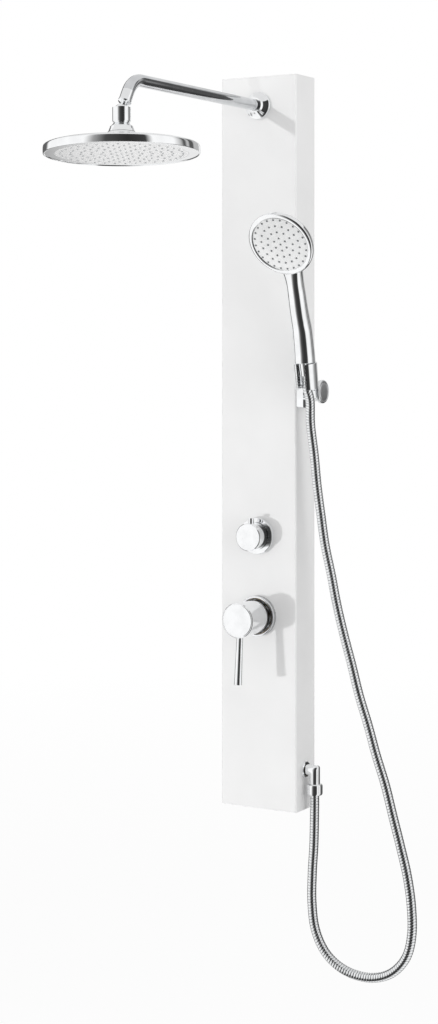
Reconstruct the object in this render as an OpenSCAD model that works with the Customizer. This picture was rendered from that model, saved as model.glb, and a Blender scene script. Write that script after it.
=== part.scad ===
// Shower column for a wall: a slim panel with a rain head on a swept arm, a single lever
// mixer, a diverter, a handset in a swivelling holder and a ribbed hose.
// Millimetres. X to the right, Y into the wall, Z up.
// The origin is the middle of the wall screw pattern, on the wall.

/* [Panel] */
// Height of the panel
panel_h = 1200; // [1180:1:1240]
// Width of the panel
panel_w = 140; // [136:1:150]
// Depth of the panel, from the wall to its front face
panel_d = 64; // [63:0.5:70]
// Thickness of the panel sheet
sheet = 2; // [1.6:0.1:2.4]
// Radius of the two long front corners
corner_r = 3; // [2.6:0.1:5]
// Width of the folded lips at the back
lip_w = 8; // [5:0.5:10]
// Thickness of the two end caps
cap_t = 2.5; // [2:0.1:4]
// Depth of the rim that an end cap pushes into the panel
cap_rim = 6; // [4:0.5:10]
// Wall of that rim
cap_wall = 2; // [1.5:0.1:3]
// Play of that rim in the panel
cap_gap = 0.3; // [0.1:0.05:0.3]

/* [Wall fixing] */
// Distance between the two screws of one bracket
screw_dx = 70; // [60:1:80]
// Distance between the upper and the lower bracket's screws
screw_dz = 900; // [860:1:930]
// Diameter of the screw holes
screw_hole_d = 6; // [5:0.1:7]
// Width of a wall bracket
bracket_w = 110; // [100:1:114]
// Height of a wall bracket's plate
bracket_h = 44; // [36:1:50]
// Thickness of the brackets and the hook rails
strip_t = 2; // [1.6:0.1:2.4]
// Distance from the wall to the face of the bracket's upturned edge
hook_out = 8; // [7.6:0.1:10]
// Height of the bracket's upturned edge
hook_h = 12; // [10:0.5:14]
// Play between the two hooked edges
hook_gap = 0.3; // [0.2:0.05:0.5]
// Reach of a hook rail from the wall
rail_out = 24; // [20:0.5:25]
// Height of a hook rail's front flange
rail_h = 14; // [8:0.5:16]

/* [Heights] */
// Distance from the panel's top down to the arm
arm_down = 48; // [42:1:52]
// Height of the diverter above the middle
diverter_z = -153; // [-160:1:-148]
// Height of the mixer above the middle
mixer_z = -284.5; // [-290:0.5:-278]
// Distance from the panel's bottom up to the hose outlet
outlet_up = 66; // [60:1:70]
// Height of the handset holder's axis above the middle
holder_z = 84; // [80:1:90]

/* [Arm] */
// Outer diameter of the arm
arm_d = 19; // [18:0.1:20]
// Wall of the arm
arm_wall = 1.5; // [1.2:0.1:2]
// Straight length of the arm in front of the panel
arm_run = 355; // [300:1:400]
// Radius of the arm's bend
arm_bend_r = 40; // [30:1:60]
// Angle of the arm's bend
arm_bend = 60; // [56:1:62]
// Distance from the end of the bend to the centre of the ball
ball_drop = 34.6; // [32:0.1:45]
// Diameter of the arm's cover flange
flange_d = 46; // [42:0.5:54]
// Length of the arm's cover flange
flange_h = 14; // [13:0.5:18]
// Thickness of the cover flange's wall
flange_wall = 1.8; // [1.2:0.1:2.2]
// Diameter of the arm connector's threaded neck
neck_d = 25; // [24:0.5:27]
// Length of the neck in front of the panel
neck_run = 8; // [7:0.5:9]
// Play of a threaded neck in its panel hole, on the radius
hole_gap = 0.5; // [0.3:0.1:0.8]
// Thickness of the arm connector's lock nut
arm_nut_h = 4; // [3:0.5:5]
// Thickness of the rubber gasket behind the sheet
gasket_t = 1.5; // [1:0.1:2]

/* [Rain head] */
// Diameter of the ball
ball_d = 15; // [14:0.1:15.4]
// Diameter of the ball stud's neck
stud_d = 5.6; // [5:0.1:5.8]
// Bore of the ball stud
stud_bore = 3; // [2:0.1:3.4]
// Play between the ball, its seats and the socket
seat_gap = 0.3; // [0.2:0.05:0.35]
// Thickness of the two ball seats
seat_t = 1.6; // [1.2:0.1:1.8]
// Wall of the socket around the seats
socket_wall = 1.7; // [1.4:0.1:2]
// Wall of the swivel nut
swivel_wall = 2; // [1.6:0.1:2.6]
// Play of a screwed joint, on the radius
thread_gap = 0.1; // [0.05:0.01:0.15]
// Lean of the head about the cross axis
head_lean_x = -2.9; // [-5:0.1:0]
// Lean of the head about the arm's axis
head_lean_y = -2.2; // [-4:0.1:0]
// Radius of the head
head_r = 115.2; // [108:0.1:130]
// Distance from the ball's centre down to the head's underside
head_drop = 64; // [62:0.5:70]
// Height of the head's upright rim
head_rim = 12; // [10:0.5:14]
// Wall of the head's shell
head_wall = 2.4; // [1.8:0.1:2.8]
// Radius of the head's face plate
face_r = 98; // [94:0.5:100]
// Thickness of the head's face plate and of the ring round it
face_t = 3; // [2:0.1:3.4]
// Play between the plates and the shell of a spray head
plate_gap = 0.2; // [0.1:0.05:0.3]
// Number of nozzle rings in the rain head
head_rings = 6; // [4:1:6]
// Distance between the nozzle rings of the rain head
head_pitch = 15; // [12:0.5:15.5]
// Radius of a nozzle
nozzle_r = 1.5; // [1:0.1:1.7]
// Height of a nozzle above the face
nozzle_out = 1.2; // [0.6:0.1:2]
// Thickness of the rubber mat that carries the nozzles
mat_t = 1.6; // [1.2:0.1:2]

/* [Mixer] */
// Outer diameter of the mixer's rosette
mixer_ring_d = 66; // [64:0.5:76]
// Thickness of the mixer's rosette
mixer_ring_h = 10; // [9:0.5:11]
// Width of the bevel inside the rosette
mixer_bevel = 2; // [1:0.1:3]
// Diameter of the handle barrel at its front
barrel_d = 56.5; // [56:0.5:58]
// Diameter of the handle barrel at its back
barrel_back_d = 54; // [53:0.5:55]
// Distance from the panel to the front of the handle barrel
barrel_out = 69; // [66:0.5:76]
// Wall of the handle barrel
barrel_wall = 1.8; // [1.2:0.1:2]
// Gap between a rosette and the handle or knob in front of it
turn_gap = 2; // [1:0.1:3]
// Thickness of the handle's cap
mixer_cap_t = 3; // [2:0.1:4]
// Distance from the panel to the tilt axis of the handle
tilt_out = 16; // [15.6:0.1:17]
// Diameter of the lever at its top
lever_d = 11; // [9:0.1:12]
// Diameter of the lever at its end
lever_end_d = 13.5; // [11:0.1:15]
// Length of the lever below the barrel
lever_len = 76; // [60:1:90]
// Lean of the lever away from the panel
lever_lean = 4.4; // [0:0.1:8]
// Distance from the panel to the lever's line, on the barrel's axis
lever_out = 58; // [56:0.5:59]
// Radius of the mixer body
mixer_r = 24; // [22:0.5:26]
// Depth of the valve bodies behind the sheet
valve_depth = 44; // [40:0.5:48]
// Diameter of the mixer's threaded neck
mixer_neck_d = 35; // [34:0.1:36]
// Thickness of the mixer's lock nut
mixer_nut_h = 5; // [3:0.5:6]
// Radius of the mixer's cartridge
cartridge_r = 14; // [12.6:0.1:14.4]
// Radius of the cartridge's nose
cartridge_nose_r = 12; // [10:0.1:12.4]
// Radius of the turning driver
driver_r = 13; // [10:0.1:14]
// Radius of the driver's shaft
shaft_r = 6; // [4:0.1:7]
// Running play of a shaft or pivot pin, on the radius
run_gap = 0.05; // [0.02:0.01:0.08]
// Width of the tilting stem
stem_w = 7; // [6:0.1:8]
// Diameter of the stem's front part
stem_d = 8; // [7:0.1:9]
// Diameter of the tilt pin
tilt_pin_d = 3; // [2:0.1:3.6]
// Diameter of the grub screw
grub_d = 4; // [3:0.1:4.6]
// Gap between parts that move past each other
part_gap = 0.4; // [0.3:0.05:0.6]

/* [Inlets] */
// Outer diameter of the inlets' pipe thread
inlet_d = 20.96; // [20:0.01:21.2]
// Length of the inlets' thread
inlet_len = 16; // [12:0.5:20]
// Distance from the hot inlet to the cold inlet
inlet_dx = 44; // [40:0.5:46]
// Bore of the inlets
inlet_bore = 12; // [9:0.1:14]
// Diameter of the inlets' shoulders
inlet_boss_d = 25; // [24:0.5:26]

/* [Diverter] */
// Diameter of the diverter's rosette
div_ring_d = 60; // [54:0.5:70]
// Thickness of the diverter's rosette
div_ring_h = 9; // [8:0.5:10]
// Diameter of the diverter knob
div_knob_d = 45; // [40:0.5:50]
// Distance from the panel to the front of the knob
div_out = 35.4; // [32:0.1:40]
// Wall of the knob
div_wall = 3; // [2:0.1:4]
// Diameter of the knob's pin
div_pin_d = 9.4; // [7:0.1:11]
// Height of the pin above the knob's rim
div_pin_out = 8; // [5:0.5:12]
// Radius of the diverter body
div_r = 20; // [18:0.5:22]
// Diameter of the diverter's threaded neck
div_neck_d = 26; // [25:0.1:27]
// Radius of the diverter's cartridge
div_cartridge_r = 10; // [9:0.1:10.6]
// Radius of the diverter's spindle
spindle_r = 4; // [3:0.1:5]

/* [Inner pipes] */
// Outer diameter of the inner pipes
pipe_d = 12; // [10:0.1:12.6]
// Wall of the inner pipes
pipe_wall = 1; // [0.8:0.1:1.4]
// Distance from the wall to the inner pipes
pipe_y = 34; // [33.5:0.5:35]
// Distance from the middle to the outlet pipe
outlet_pipe_x = 50; // [49:0.5:52]
// Bend radius of the outlet pipe
pipe_bend_r = 16; // [14:0.5:18]
// Width across the flats of the pipe nuts
pipe_nut_af = 18; // [16.5:0.5:20]
// Length of the pipe nuts
pipe_nut_h = 8; // [6:0.5:8]
// Length of the sockets that the pipes plug into
pipe_socket = 16; // [14:0.5:18]

/* [Hose outlet] */
// Diameter of the outlet's rosette
outlet_ring_d = 26; // [25:0.5:32]
// Thickness of the outlet's rosette
outlet_ring_h = 4; // [3:0.5:6]
// Diameter of the outlet elbow
outlet_d = 17.4; // [16.4:0.1:18]
// Distance from the panel's side to the hose end's axis
outlet_reach = 18.4; // [17:0.1:22]
// Height from the outlet nut's bottom to the outlet's axis
outlet_drop = 40.3; // [36:0.1:50]
// Diameter of the hose's outlet nut
hose_nut_d = 26; // [24:0.5:28]
// Length of the hose's outlet nut
hose_nut_h = 18.7; // [14:0.1:22]
// Bore of the hose fittings
hose_bore = 9; // [8:0.1:10]

/* [Holder] */
// Distance from the wall to the holder's axis
holder_y = 45; // [43:0.5:46]
// Depth of the holder's base block
base_y = 34; // [33:0.5:35]
// Height of the holder's base block
base_z = 44; // [40:0.5:50]
// Thickness of the holder's base block
base_x = 12; // [9:0.5:16]
// Diameter of the holder's barrel
holder_d = 32; // [30:0.5:33]
// Length of the holder's barrel
holder_len = 22; // [20:0.5:26]
// Diameter of the holder's knob
holder_knob_d = 38; // [34:0.5:42]
// Thickness of the holder's knob
holder_knob_h = 8; // [6:0.5:12]
// Diameter of the holder's bolt
bolt_d = 8; // [6:0.1:9]
// Diameter of the bolt's head inside the panel
bolt_head_d = 15; // [13:0.5:18]
// Distance from the holder's axis forward to the cup's foot
cup_fwd = 38; // [38:0.5:40]
// Distance from the base block's face to the cup's axis, along the barrel
cup_along = 18.5; // [17.5:0.1:19]
// Height of the cup's foot above the holder's axis
cup_up = 6; // [4:0.5:8]
// Lean of the cup away from the wall
cup_lean = 10; // [6:0.5:14]
// Height of the cup along its own axis
cup_h = 41.5; // [38:0.5:46]
// Diameter of the cup at its top
cup_top_d = 38.6; // [38:0.1:41]
// Diameter of the cup at its foot
cup_foot_d = 37; // [36:0.1:38]
// Width of the cup's slot
cup_slot = 16; // [15.4:0.1:17]
// Diameter of the hose's cone nut at its top
cone_top_d = 24; // [23.6:0.1:25]
// Diameter of the cone nut at its lower end
cone_end_d = 21; // [20:0.1:21.4]
// Length of the cone nut
cone_h = 20; // [16:0.5:22]
// Play of the cone nut in the cup, on the radius
cone_gap = 0.3; // [0.2:0.05:0.5]

/* [Handset] */
// Radius of the handset's head
hand_r = 54.6; // [52:0.2:60]
// Depth of the handset's head at its middle
hand_depth = 18; // [17:0.5:20]
// Wall of the handset
hand_wall = 2.4; // [2:0.1:2.8]
// Lean of the handset's face below the horizontal
hand_lean = 32.4; // [30:0.2:35]
// Distance from the wall to the middle of the handset's face
hand_y = 172.3; // [171:0.1:174]
// Height of the middle of the handset's face
hand_z = 316.8; // [315:0.1:318]
// Radius of the handset's face plate
hand_face_r = 50; // [48:0.2:51]
// Radius of the handle at its lower end
grip_end_r = 17; // [16.4:0.1:17.4]
// Radius of the handle under the head
grip_neck_r = 14.5; // [14:0.1:15]
// Number of nozzle rings in the handset
hand_rings = 4; // [3:1:4]
// Distance between the nozzle rings of the handset
hand_pitch = 11; // [9:0.5:11.4]

/* [Hose] */
// Outer diameter of the hose over its ribs
hose_d = 15; // [14:0.1:15.2]
// Depth of the grooves between the ribs
rib_depth = 0.9; // [0.5:0.1:1.4]
// Bore of the hose
hose_tube_bore = 8; // [6:0.1:9]
// Number of ribs
ribs = 196; // [120:1:200]

/* [Hidden] */
// A face that a cut has to pass reaches this much further.
eps = 0.5;

// Places on the panel
side_x = panel_w / 2;
side_in = side_x - sheet;
shell_h = panel_h - 2 * cap_t;
arm_z = panel_h / 2 - arm_down;
outlet_z = outlet_up - panel_h / 2;

// Radii of the threaded necks' holes in the panel
arm_hole_r = neck_d / 2 + hole_gap;
mixer_hole_r = mixer_neck_d / 2 + hole_gap;
div_hole_r = div_neck_d / 2 + hole_gap;
tail_r = 10;
tail_hole_r = tail_r + hole_gap;
bolt_hole_r = bolt_d / 2 + hole_gap;

// Arm: the bend starts at bend_y and ends at arm_ey, arm_ez.
arm_r = arm_d / 2;
arm_bore_r = arm_r - arm_wall;
bend_y = -panel_d - arm_run;
arm_ey = bend_y - arm_bend_r * sin(arm_bend);
arm_ez = arm_z - arm_bend_r * (1 - cos(arm_bend));
ball_y = arm_ey - ball_drop * cos(arm_bend);
ball_z = arm_ez - ball_drop * sin(arm_bend);
// The ball stud's shoulder starts here, measured from the ball's centre.
shoulder_at = 13.4;
shoulder_h = 5.2;
plug_h = 3;
shank_r = 4;
arm_nut_r = neck_d / 2 + 3.6;
arm_body_r = 16;
arm_socket_down = 30;

// Rain head, in its own frame: the ball's centre is the origin and the axis is Z.
ball_r = ball_d / 2;
seat_in = ball_r + seat_gap;
seat_out = seat_in + seat_t;
socket_in = seat_out + seat_gap;
socket_out = socket_in + socket_wall;
swivel_r = socket_out + thread_gap + swivel_wall;
swivel_up = 5;
swivel_down = 16;
collar_end = 31;
collar_r = 19.8;
spigot_r = 10;
spigot_end = 37;
head_top = head_drop - head_rim;
head_in = head_r - head_wall;
plate_z = head_drop - 0.8;
mat_z = plate_z - face_t;

// Mixer, measured outwards from the panel's front face
mixer_neck_out = mixer_nut_h + 4;
cartridge_in = 14;
barrel_back = mixer_ring_h + turn_gap;
driver_from = mixer_neck_out + part_gap;
driver_to = tilt_out + 7;
slot_floor = tilt_out - stem_w / 2 - part_gap;
web_out = barrel_out - mixer_cap_t - 14;
web_t = 4;
stem_end = web_out + web_t;
hub_r = stem_d / 2 + 4.5;
hub_from = web_out - 14;
grub_out = web_out - 6;
// Where the shafts start, in front of the sheet (negative is behind it)
shaft_from = -8;
nose_from = 3;
lock_nut_r = mixer_neck_d / 2 + 3.5;
ring_edge = 2;
cap_seat_r = barrel_d / 2 - 1.65;
inlet_shoulder = 6;

// Diverter, measured outwards from the panel's front face
div_neck_out = 8;
div_back = div_ring_h + turn_gap;
spindle_to = div_out - div_wall - 1;
div_pin_r = div_pin_d / 2;
div_pin_at = div_out - 10.9;

// Inner pipes
pipe_r = pipe_d / 2;
pipe_h = panel_d - pipe_y;
pipe_nut_r = pipe_nut_af / 2 / cos(30);
socket_out_r = pipe_r + 2;
inlet_r = inlet_d / 2;
socket_up = 8;
side_port = div_r + 6;
warm_from = mixer_z + mixer_r + socket_up - pipe_socket;
warm_to = diverter_z - div_r - socket_up + pipe_socket;
riser_from = diverter_z + div_r + socket_up - pipe_socket;
riser_to = arm_z - arm_socket_down + pipe_socket;
union_up = 28;
union_r = 13;
union_len = side_x - outlet_pipe_x + 12;
tail_len = 16;

// Hose outlet and its nut
outlet_r = outlet_d / 2;
outlet_x = side_x + outlet_reach;
nut_bottom = outlet_z - outlet_drop;
nut_top = nut_bottom + hose_nut_h;
outlet_bend_r = 10;
spigot_end_r = 7.5;

// Holder: its axis runs along X at holder_y in front of the wall.
base_out = side_x + base_x;
barrel_end = base_out + holder_len;
cup_x = base_out + cup_along;
neck_half = 14;
bolt_end = base_x + holder_len + holder_knob_h - 2;
cup_y = -holder_y - cup_fwd;
cup_z = holder_z + cup_up;
cone_from = cup_h - cone_h;
// Gap where the handle stands over the cup, and under the cone nut
grip_gap = 0.3;

// Handset: the middle line of the handle lies in the plane of the cup's axis. The first
// point is the middle of the cup's top, and the others are y and z in that plane.
grip_y0 = cup_y - (cup_h + grip_gap) * sin(cup_lean);
grip_z0 = cup_z + (cup_h + grip_gap) * cos(cup_lean);
grip_line = [
    [grip_y0, grip_z0], [grip_y0 - 2.2, grip_z0 + 17], [-99, 181], [-105, 198.5],
    [-111, 215.5], [-120, 247], [-126.5, 266], [-134.5, 281.5], [-141, 291]
];
grip_radii = [
    grip_end_r, grip_end_r - 0.2, grip_end_r - 0.8, grip_neck_r + 1.2,
    grip_neck_r + 0.7, grip_neck_r, grip_neck_r - 0.7, grip_neck_r - 2.1, grip_neck_r - 4.5
];
grip_sides = 36;
// Height of the ring round the handset's face
hand_lip = 2.5;

// Hose route: x, y and z of the points that its middle line passes through, from the cone
// nut in the cup down to the lowest turn and up to the outlet's nut.
hose_x0 = cup_x;
hose_y0 = cup_y - (cone_from - grip_gap) * sin(cup_lean);
hose_z0 = cup_z + (cone_from - grip_gap) * cos(cup_lean);
route = [
    [hose_x0, hose_y0, hose_z0],
    [hose_x0, hose_y0 + 20 * sin(cup_lean), hose_z0 - 20 * cos(cup_lean)],
    [102, -75.5, 70], [99.5, -69, 32], [103.5, -64, -18], [107.5, -62, -66],
    [114, -61, -114], [121, -60, -162], [132, -59.5, -210], [142, -59, -258],
    [154, -58, -305], [168, -58, -352], [180, -56, -399], [195, -54, -446],
    [209, -53, -493], [224, -51, -539], [236, -49, -586], [248, -47, -632],
    [259, -45, -678], [266, -44, -725], [266, -42, -773], [255, -41, -812],
    [228, -40, -841], [190, -39, -854], [147, -38, -850], [112, -37, -829],
    [91, -36, -793], [84, -35, -748], [84.5, -34.6, -700], [87.2, -34, -652],
    [outlet_x, -pipe_y, nut_bottom - 20], [outlet_x, -pipe_y, nut_bottom]
];
hose_r = hose_d / 2;
bore_steps = 78;

$fn = 96;

// Frames: the children's Z runs out of the front face, with Y up.
module front(z) {
    translate([0, -panel_d, z]) rotate([90, 0, 0]) children();
}

// The children's Z runs out of the right side, with Y up.
module side(y, z) {
    translate([side_x, -y, z]) rotate([90, 0, 90]) children();
}

// The children's Z is the arm's end line, with the ball's centre at the origin.
module arm_end() {
    translate([0, ball_y, ball_z]) rotate([arm_bend - 90, 0, 0]) children();
}

// The children's Z is the rain head's axis, with the ball's centre at the origin.
module head() {
    translate([0, ball_y, ball_z]) rotate([head_lean_x, head_lean_y, 0]) children();
}

// The children's Z is the cup's axis, with the middle of the cup's foot at the origin.
module cup() {
    translate([cup_x, cup_y, cup_z]) rotate([cup_lean, 0, 0]) children();
}

// The children's Z points out of the handset's face, with its middle at the origin.
module spray() {
    translate([cup_x, -hand_y, hand_z]) rotate([90 + hand_lean, 0, 0]) children();
}

// A ring between two heights
module ring(r_out, r_in, from, to) {
    difference() {
        translate([0, 0, from]) cylinder(r = r_out, h = to - from);
        translate([0, 0, from - eps]) cylinder(r = r_in, h = to - from + 2 * eps);
    }
}

// A plain round bar between two heights
module bar(r, from, to) {
    translate([0, 0, from]) cylinder(r = r, h = to - from);
}

// A six sided nut between two heights
module hex_nut(r, r_in, from, to) {
    difference() {
        translate([0, 0, from]) cylinder(r = r, h = to - from, $fn = 6);
        translate([0, 0, from - eps]) cylinder(r = r_in, h = to - from + 2 * eps);
    }
}

// Rings of children round the axis: ring i has 6 * i places.
module nozzle_places(rings, pitch) {
    children();
    for (i = [1 : rings])
        for (k = [0 : 6 * i - 1])
            rotate([0, 0, k * 60 / i + 30 * (i % 2)])
                translate([i * pitch, 0, 0]) children();
}

// The panel's section, drawn in by a margin on the sides and the front
module panel_section(margin) {
    w = panel_w - 2 * margin;
    d = panel_d - margin;
    r = corner_r - min(margin, corner_r - 0.5);
    translate([-w / 2 + r, -d]) square([w - 2 * r, d]);
    translate([-w / 2, -d + r]) square([w, d - r]);
    for (s = [-1, 1])
        translate([s * (w / 2 - r), -d + r]) circle(r = r);
}

module cap(plate_from, rim_from) {
    translate([0, 0, plate_from])
        linear_extrude(cap_t) panel_section(0);
    translate([0, 0, rim_from])
        linear_extrude(cap_rim)
            difference() {
                cap_rim_section(sheet + cap_gap);
                cap_rim_section(sheet + cap_gap + cap_wall);
            }
}

module cap_rim_section(margin) {
    w = panel_w - 2 * margin;
    translate([-w / 2, -panel_d + margin])
        square([w, panel_d - 2 * margin]);
}

module panel_shell() {
    color("whitesmoke")
    difference() {
        translate([0, 0, -shell_h / 2]) linear_extrude(shell_h)
            difference() {
                panel_section(0);
                difference() {
                    panel_section(sheet);
                    translate([-panel_w, -sheet]) square([2 * panel_w, 2 * sheet]);
                }
                translate([-side_x + lip_w, -2 * sheet])
                    square([panel_w - 2 * lip_w, 3 * sheet]);
            }
        front(arm_z) bar(arm_hole_r, -2 * sheet, sheet);
        front(diverter_z) bar(div_hole_r, -2 * sheet, sheet);
        front(mixer_z) bar(mixer_hole_r, -2 * sheet, sheet);
        side(pipe_y, outlet_z) bar(tail_hole_r, -2 * sheet, sheet);
        side(holder_y, holder_z) bar(bolt_hole_r, -2 * sheet, sheet);
    }
}

module top_cap() {
    color("whitesmoke") cap(shell_h / 2, shell_h / 2 - cap_rim);
}

module bottom_cap() {
    color("whitesmoke") cap(-panel_h / 2, -shell_h / 2);
}

module wall_brackets() {
    color("lightgray")
    for (s = [-1, 1])
        translate([0, 0, s * screw_dz / 2]) {
            difference() {
                translate([-bracket_w / 2, -strip_t, -bracket_h / 2])
                    cube([bracket_w, strip_t, bracket_h]);
                for (x = [-1, 1])
                    translate([x * screw_dx / 2, eps, 0]) rotate([90, 0, 0])
                        cylinder(r = screw_hole_d / 2, h = strip_t + 2 * eps);
            }
            translate([-bracket_w / 2, -hook_out - strip_t, bracket_h / 2 - strip_t])
                cube([bracket_w, hook_out + strip_t, strip_t]);
            translate([-bracket_w / 2, -hook_out - strip_t, bracket_h / 2 - strip_t])
                cube([bracket_w, strip_t, strip_t + hook_h]);
        }
}

module hook_rails() {
    rail_z = bracket_h / 2 + hook_h;
    edge_y = hook_out - hook_gap;
    color("lightgray")
    for (s = [-1, 1])
        translate([-side_in, 0, s * screw_dz / 2 + rail_z]) {
            translate([0, -rail_out, 0])
                cube([2 * side_in, rail_out - edge_y + strip_t, strip_t]);
            translate([0, -rail_out, 0])
                cube([2 * side_in, strip_t, rail_h]);
            translate([0, -edge_y, 1 - hook_h])
                cube([2 * side_in, strip_t, hook_h]);
        }
}

module arm_connector() {
    color("goldenrod") {
        difference() {
            union() {
                front(arm_z) bar(arm_body_r, -36, -sheet - gasket_t);
                front(arm_z) bar(neck_d / 2, -10, neck_run);
                translate([0, -pipe_y, arm_z - arm_socket_down])
                    cylinder(r = socket_out_r, h = arm_socket_down);
            }
            front(arm_z) bar(arm_r + run_gap, -14, neck_run + eps);
            front(arm_z) bar(arm_bore_r, -32, 0);
            translate([0, -pipe_y, arm_z - arm_socket_down - eps])
                cylinder(r = pipe_r + run_gap, h = pipe_socket + eps);
            translate([0, -pipe_y, arm_z - 20])
                cylinder(r = pipe_r - pipe_wall, h = 20);
        }
    }
}

module arm_gasket() {
    color("dimgray")
        front(arm_z) ring(15, neck_d / 2 + 0.2, -sheet - gasket_t, -sheet);
}

module arm_lock_nut() {
    color("goldenrod")
        front(arm_z) hex_nut(arm_nut_r, neck_d / 2 + thread_gap, 0, arm_nut_h);
}

module arm_flange() {
    r = flange_d / 2;
    w = flange_wall;
    a = arm_r + 0.2;
    color("silver")
        front(arm_z) rotate_extrude()
            polygon([
                [r - w, 0], [r, 0], [r, 2.5], [r - 1, 4.5], [r - 3.5, 6.5],
                [a + 5, flange_h - 3], [a + 2.6, flange_h], [a, flange_h],
                [a, neck_run + 1], [a + 4.5, neck_run + 1], [r - 3.5 - w, 5.2],
                [r - 1 - w, 3.6], [r - w, 2]
            ]);
}

// The arm's bend, as a solid of a given radius
module arm_turn(r) {
    translate([0, bend_y, arm_z - arm_bend_r]) rotate([90, 0, 90]) rotate([0, 0, 90])
        rotate_extrude(angle = arm_bend) translate([arm_bend_r, 0]) circle(r = r);
}

module shower_arm() {
    color("silver")
    union() {
        front(arm_z) ring(arm_r, arm_bore_r, -12, arm_run);
        difference() {
            arm_turn(arm_r);
            arm_turn(arm_bore_r);
        }
    }
}

// The ball on its neck, with a shank that screws into the collar
module ball_stud() {
    s2 = shoulder_at + shoulder_h + 3;
    color("silver")
        arm_end() difference() {
            union() {
                sphere(r = ball_r);
                bar(stud_d / 2, 0, shoulder_at + 1);
                bar(shank_r, shoulder_at, s2);
            }
            bar(stud_bore / 2, -ball_r - eps, s2 + eps);
        }
}

// The collar's sleeve is the straight end of the arm, with a short plug in the arm's bore.
module arm_collar() {
    s1 = shoulder_at;
    s2 = s1 + shoulder_h;
    hole = shank_r + thread_gap;
    inner = arm_bore_r - arm_wall;
    color("silver")
        arm_end() rotate_extrude()
            polygon([
                [hole, s1], [5, s1], [arm_r + 0.5, s1 + 2.6], [arm_r + 0.5, s2],
                [arm_r, s2], [arm_r, ball_drop],
                [arm_bore_r - 0.2, ball_drop], [arm_bore_r - 0.2, ball_drop + plug_h],
                [inner, ball_drop + plug_h], [inner, s2 + 3], [hole, s2 + 3]
            ]);
}

// A band of the shell round the ball, between two angles above the ball's equator
module seat_band(a0, a1) {
    rotate_extrude()
        intersection() {
            difference() {
                circle(r = seat_out);
                circle(r = seat_in);
            }
            polygon([
                [0, 0], [40 * cos(a0), 40 * sin(a0)], [40 * cos(a1), 40 * sin(a1)]
            ]);
        }
}

module ball_seat_lower() {
    color("dimgray") head() seat_band(-50, -10);
}

module ball_seat_upper() {
    color("dimgray") head() seat_band(8, 24);
}

module swivel_nut() {
    color("silver")
        head() difference() {
            bar(swivel_r, -swivel_down, swivel_up);
            sphere(r = socket_in);
            bar(socket_out + thread_gap, -swivel_down - eps, 0);
            bar(sqrt(pow(socket_in, 2) - pow(swivel_up, 2)), 0, swivel_up + eps);
        }
}

module swivel_socket() {
    color("silver")
        head() difference() {
            rotate_extrude()
                polygon([
                    [0, 0], [socket_out, 0], [socket_out, -swivel_down],
                    [11.9, -swivel_down], [11.7, -swivel_down - 2],
                    [13.6, -swivel_down - 4.4], [16.8, -swivel_down - 7],
                    [18.2, -swivel_down - 11], [collar_r, -collar_end],
                    [spigot_r, -collar_end], [spigot_r, -spigot_end], [0, -spigot_end]
                ]);
            sphere(r = socket_in);
            bar(5, -spigot_end - eps, 0);
        }
}

module head_shell() {
    w = head_wall;
    t = head_top;
    r = head_r;
    color("silver")
        head() rotate_extrude()
            polygon([
                [spigot_r + thread_gap, -collar_end], [21, -collar_end],
                [24, -collar_end - 3.6], [30, 14 - t], [60, 8 - t], [105, 3 - t],
                [r - 2, 1 - t], [r, -1 - t], [r, -head_drop], [r - w, -head_drop],
                [r - w, -t - w], [105, 3 - t - w], [60, 8 - t - w],
                [29, 14 - t - w - 0.5], [22, 14 - t - w + 1.5],
                [20, -spigot_end], [spigot_r + thread_gap, -spigot_end]
            ]);
}

module head_ring() {
    color("silver")
        head() ring(head_in - plate_gap, face_r + plate_gap, -plate_z, -mat_z);
}

module head_face() {
    color("white")
        head() difference() {
            bar(face_r, -plate_z, -mat_z);
            nozzle_places(head_rings, head_pitch)
                bar(nozzle_r + 0.1, -plate_z - eps, -mat_z + eps);
        }
}

module head_nozzles() {
    color("slategray")
        head() {
            bar(head_in - plate_gap, -mat_z, -mat_z + mat_t);
            nozzle_places(head_rings, head_pitch)
                bar(nozzle_r, -plate_z - nozzle_out, -mat_z + mat_t / 2);
        }
}

module mixer_body() {
    drop = mixer_r + inlet_shoulder;
    color("goldenrod")
    difference() {
        union() {
            front(mixer_z) bar(mixer_r, -sheet - valve_depth, -sheet);
            front(mixer_z) bar(mixer_neck_d / 2, -sheet - 1, mixer_neck_out);
            translate([0, -pipe_y, mixer_z])
                cylinder(r = socket_out_r, h = mixer_r + socket_up);
            for (s = [-1, 1])
                translate([s * inlet_dx / 2, -pipe_y, mixer_z - drop]) {
                    cylinder(r = inlet_boss_d / 2, h = drop);
                    translate([0, 0, -inlet_len]) cylinder(r = inlet_r, h = inlet_len + 1);
                }
        }
        front(mixer_z) bar(cartridge_r + run_gap, -cartridge_in, mixer_neck_out + eps);
        front(mixer_z) bar(pipe_r, -pipe_h, 0);
        translate([0, -pipe_y, mixer_z])
            cylinder(r = pipe_r - pipe_wall, h = mixer_r + socket_up);
        translate([0, -pipe_y, mixer_z + mixer_r + socket_up - pipe_socket])
            cylinder(r = pipe_r + run_gap, h = pipe_socket + eps);
        for (s = [-1, 1])
            translate([s * inlet_dx / 2, -pipe_y, mixer_z - drop - inlet_len - eps])
                cylinder(r = inlet_bore / 2, h = inlet_len + drop - 8);
    }
}

module mixer_cartridge() {
    color("ivory")
        front(mixer_z) difference() {
            union() {
                bar(cartridge_r, -cartridge_in, nose_from);
                bar(cartridge_nose_r, nose_from - 1, mixer_neck_out);
            }
            bar(shaft_r + run_gap, shaft_from, mixer_neck_out + eps);
        }
}

module cartridge_nut() {
    color("goldenrod")
        front(mixer_z)
            ring(cartridge_r, cartridge_nose_r + thread_gap, nose_from, mixer_neck_out);
}

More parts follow.
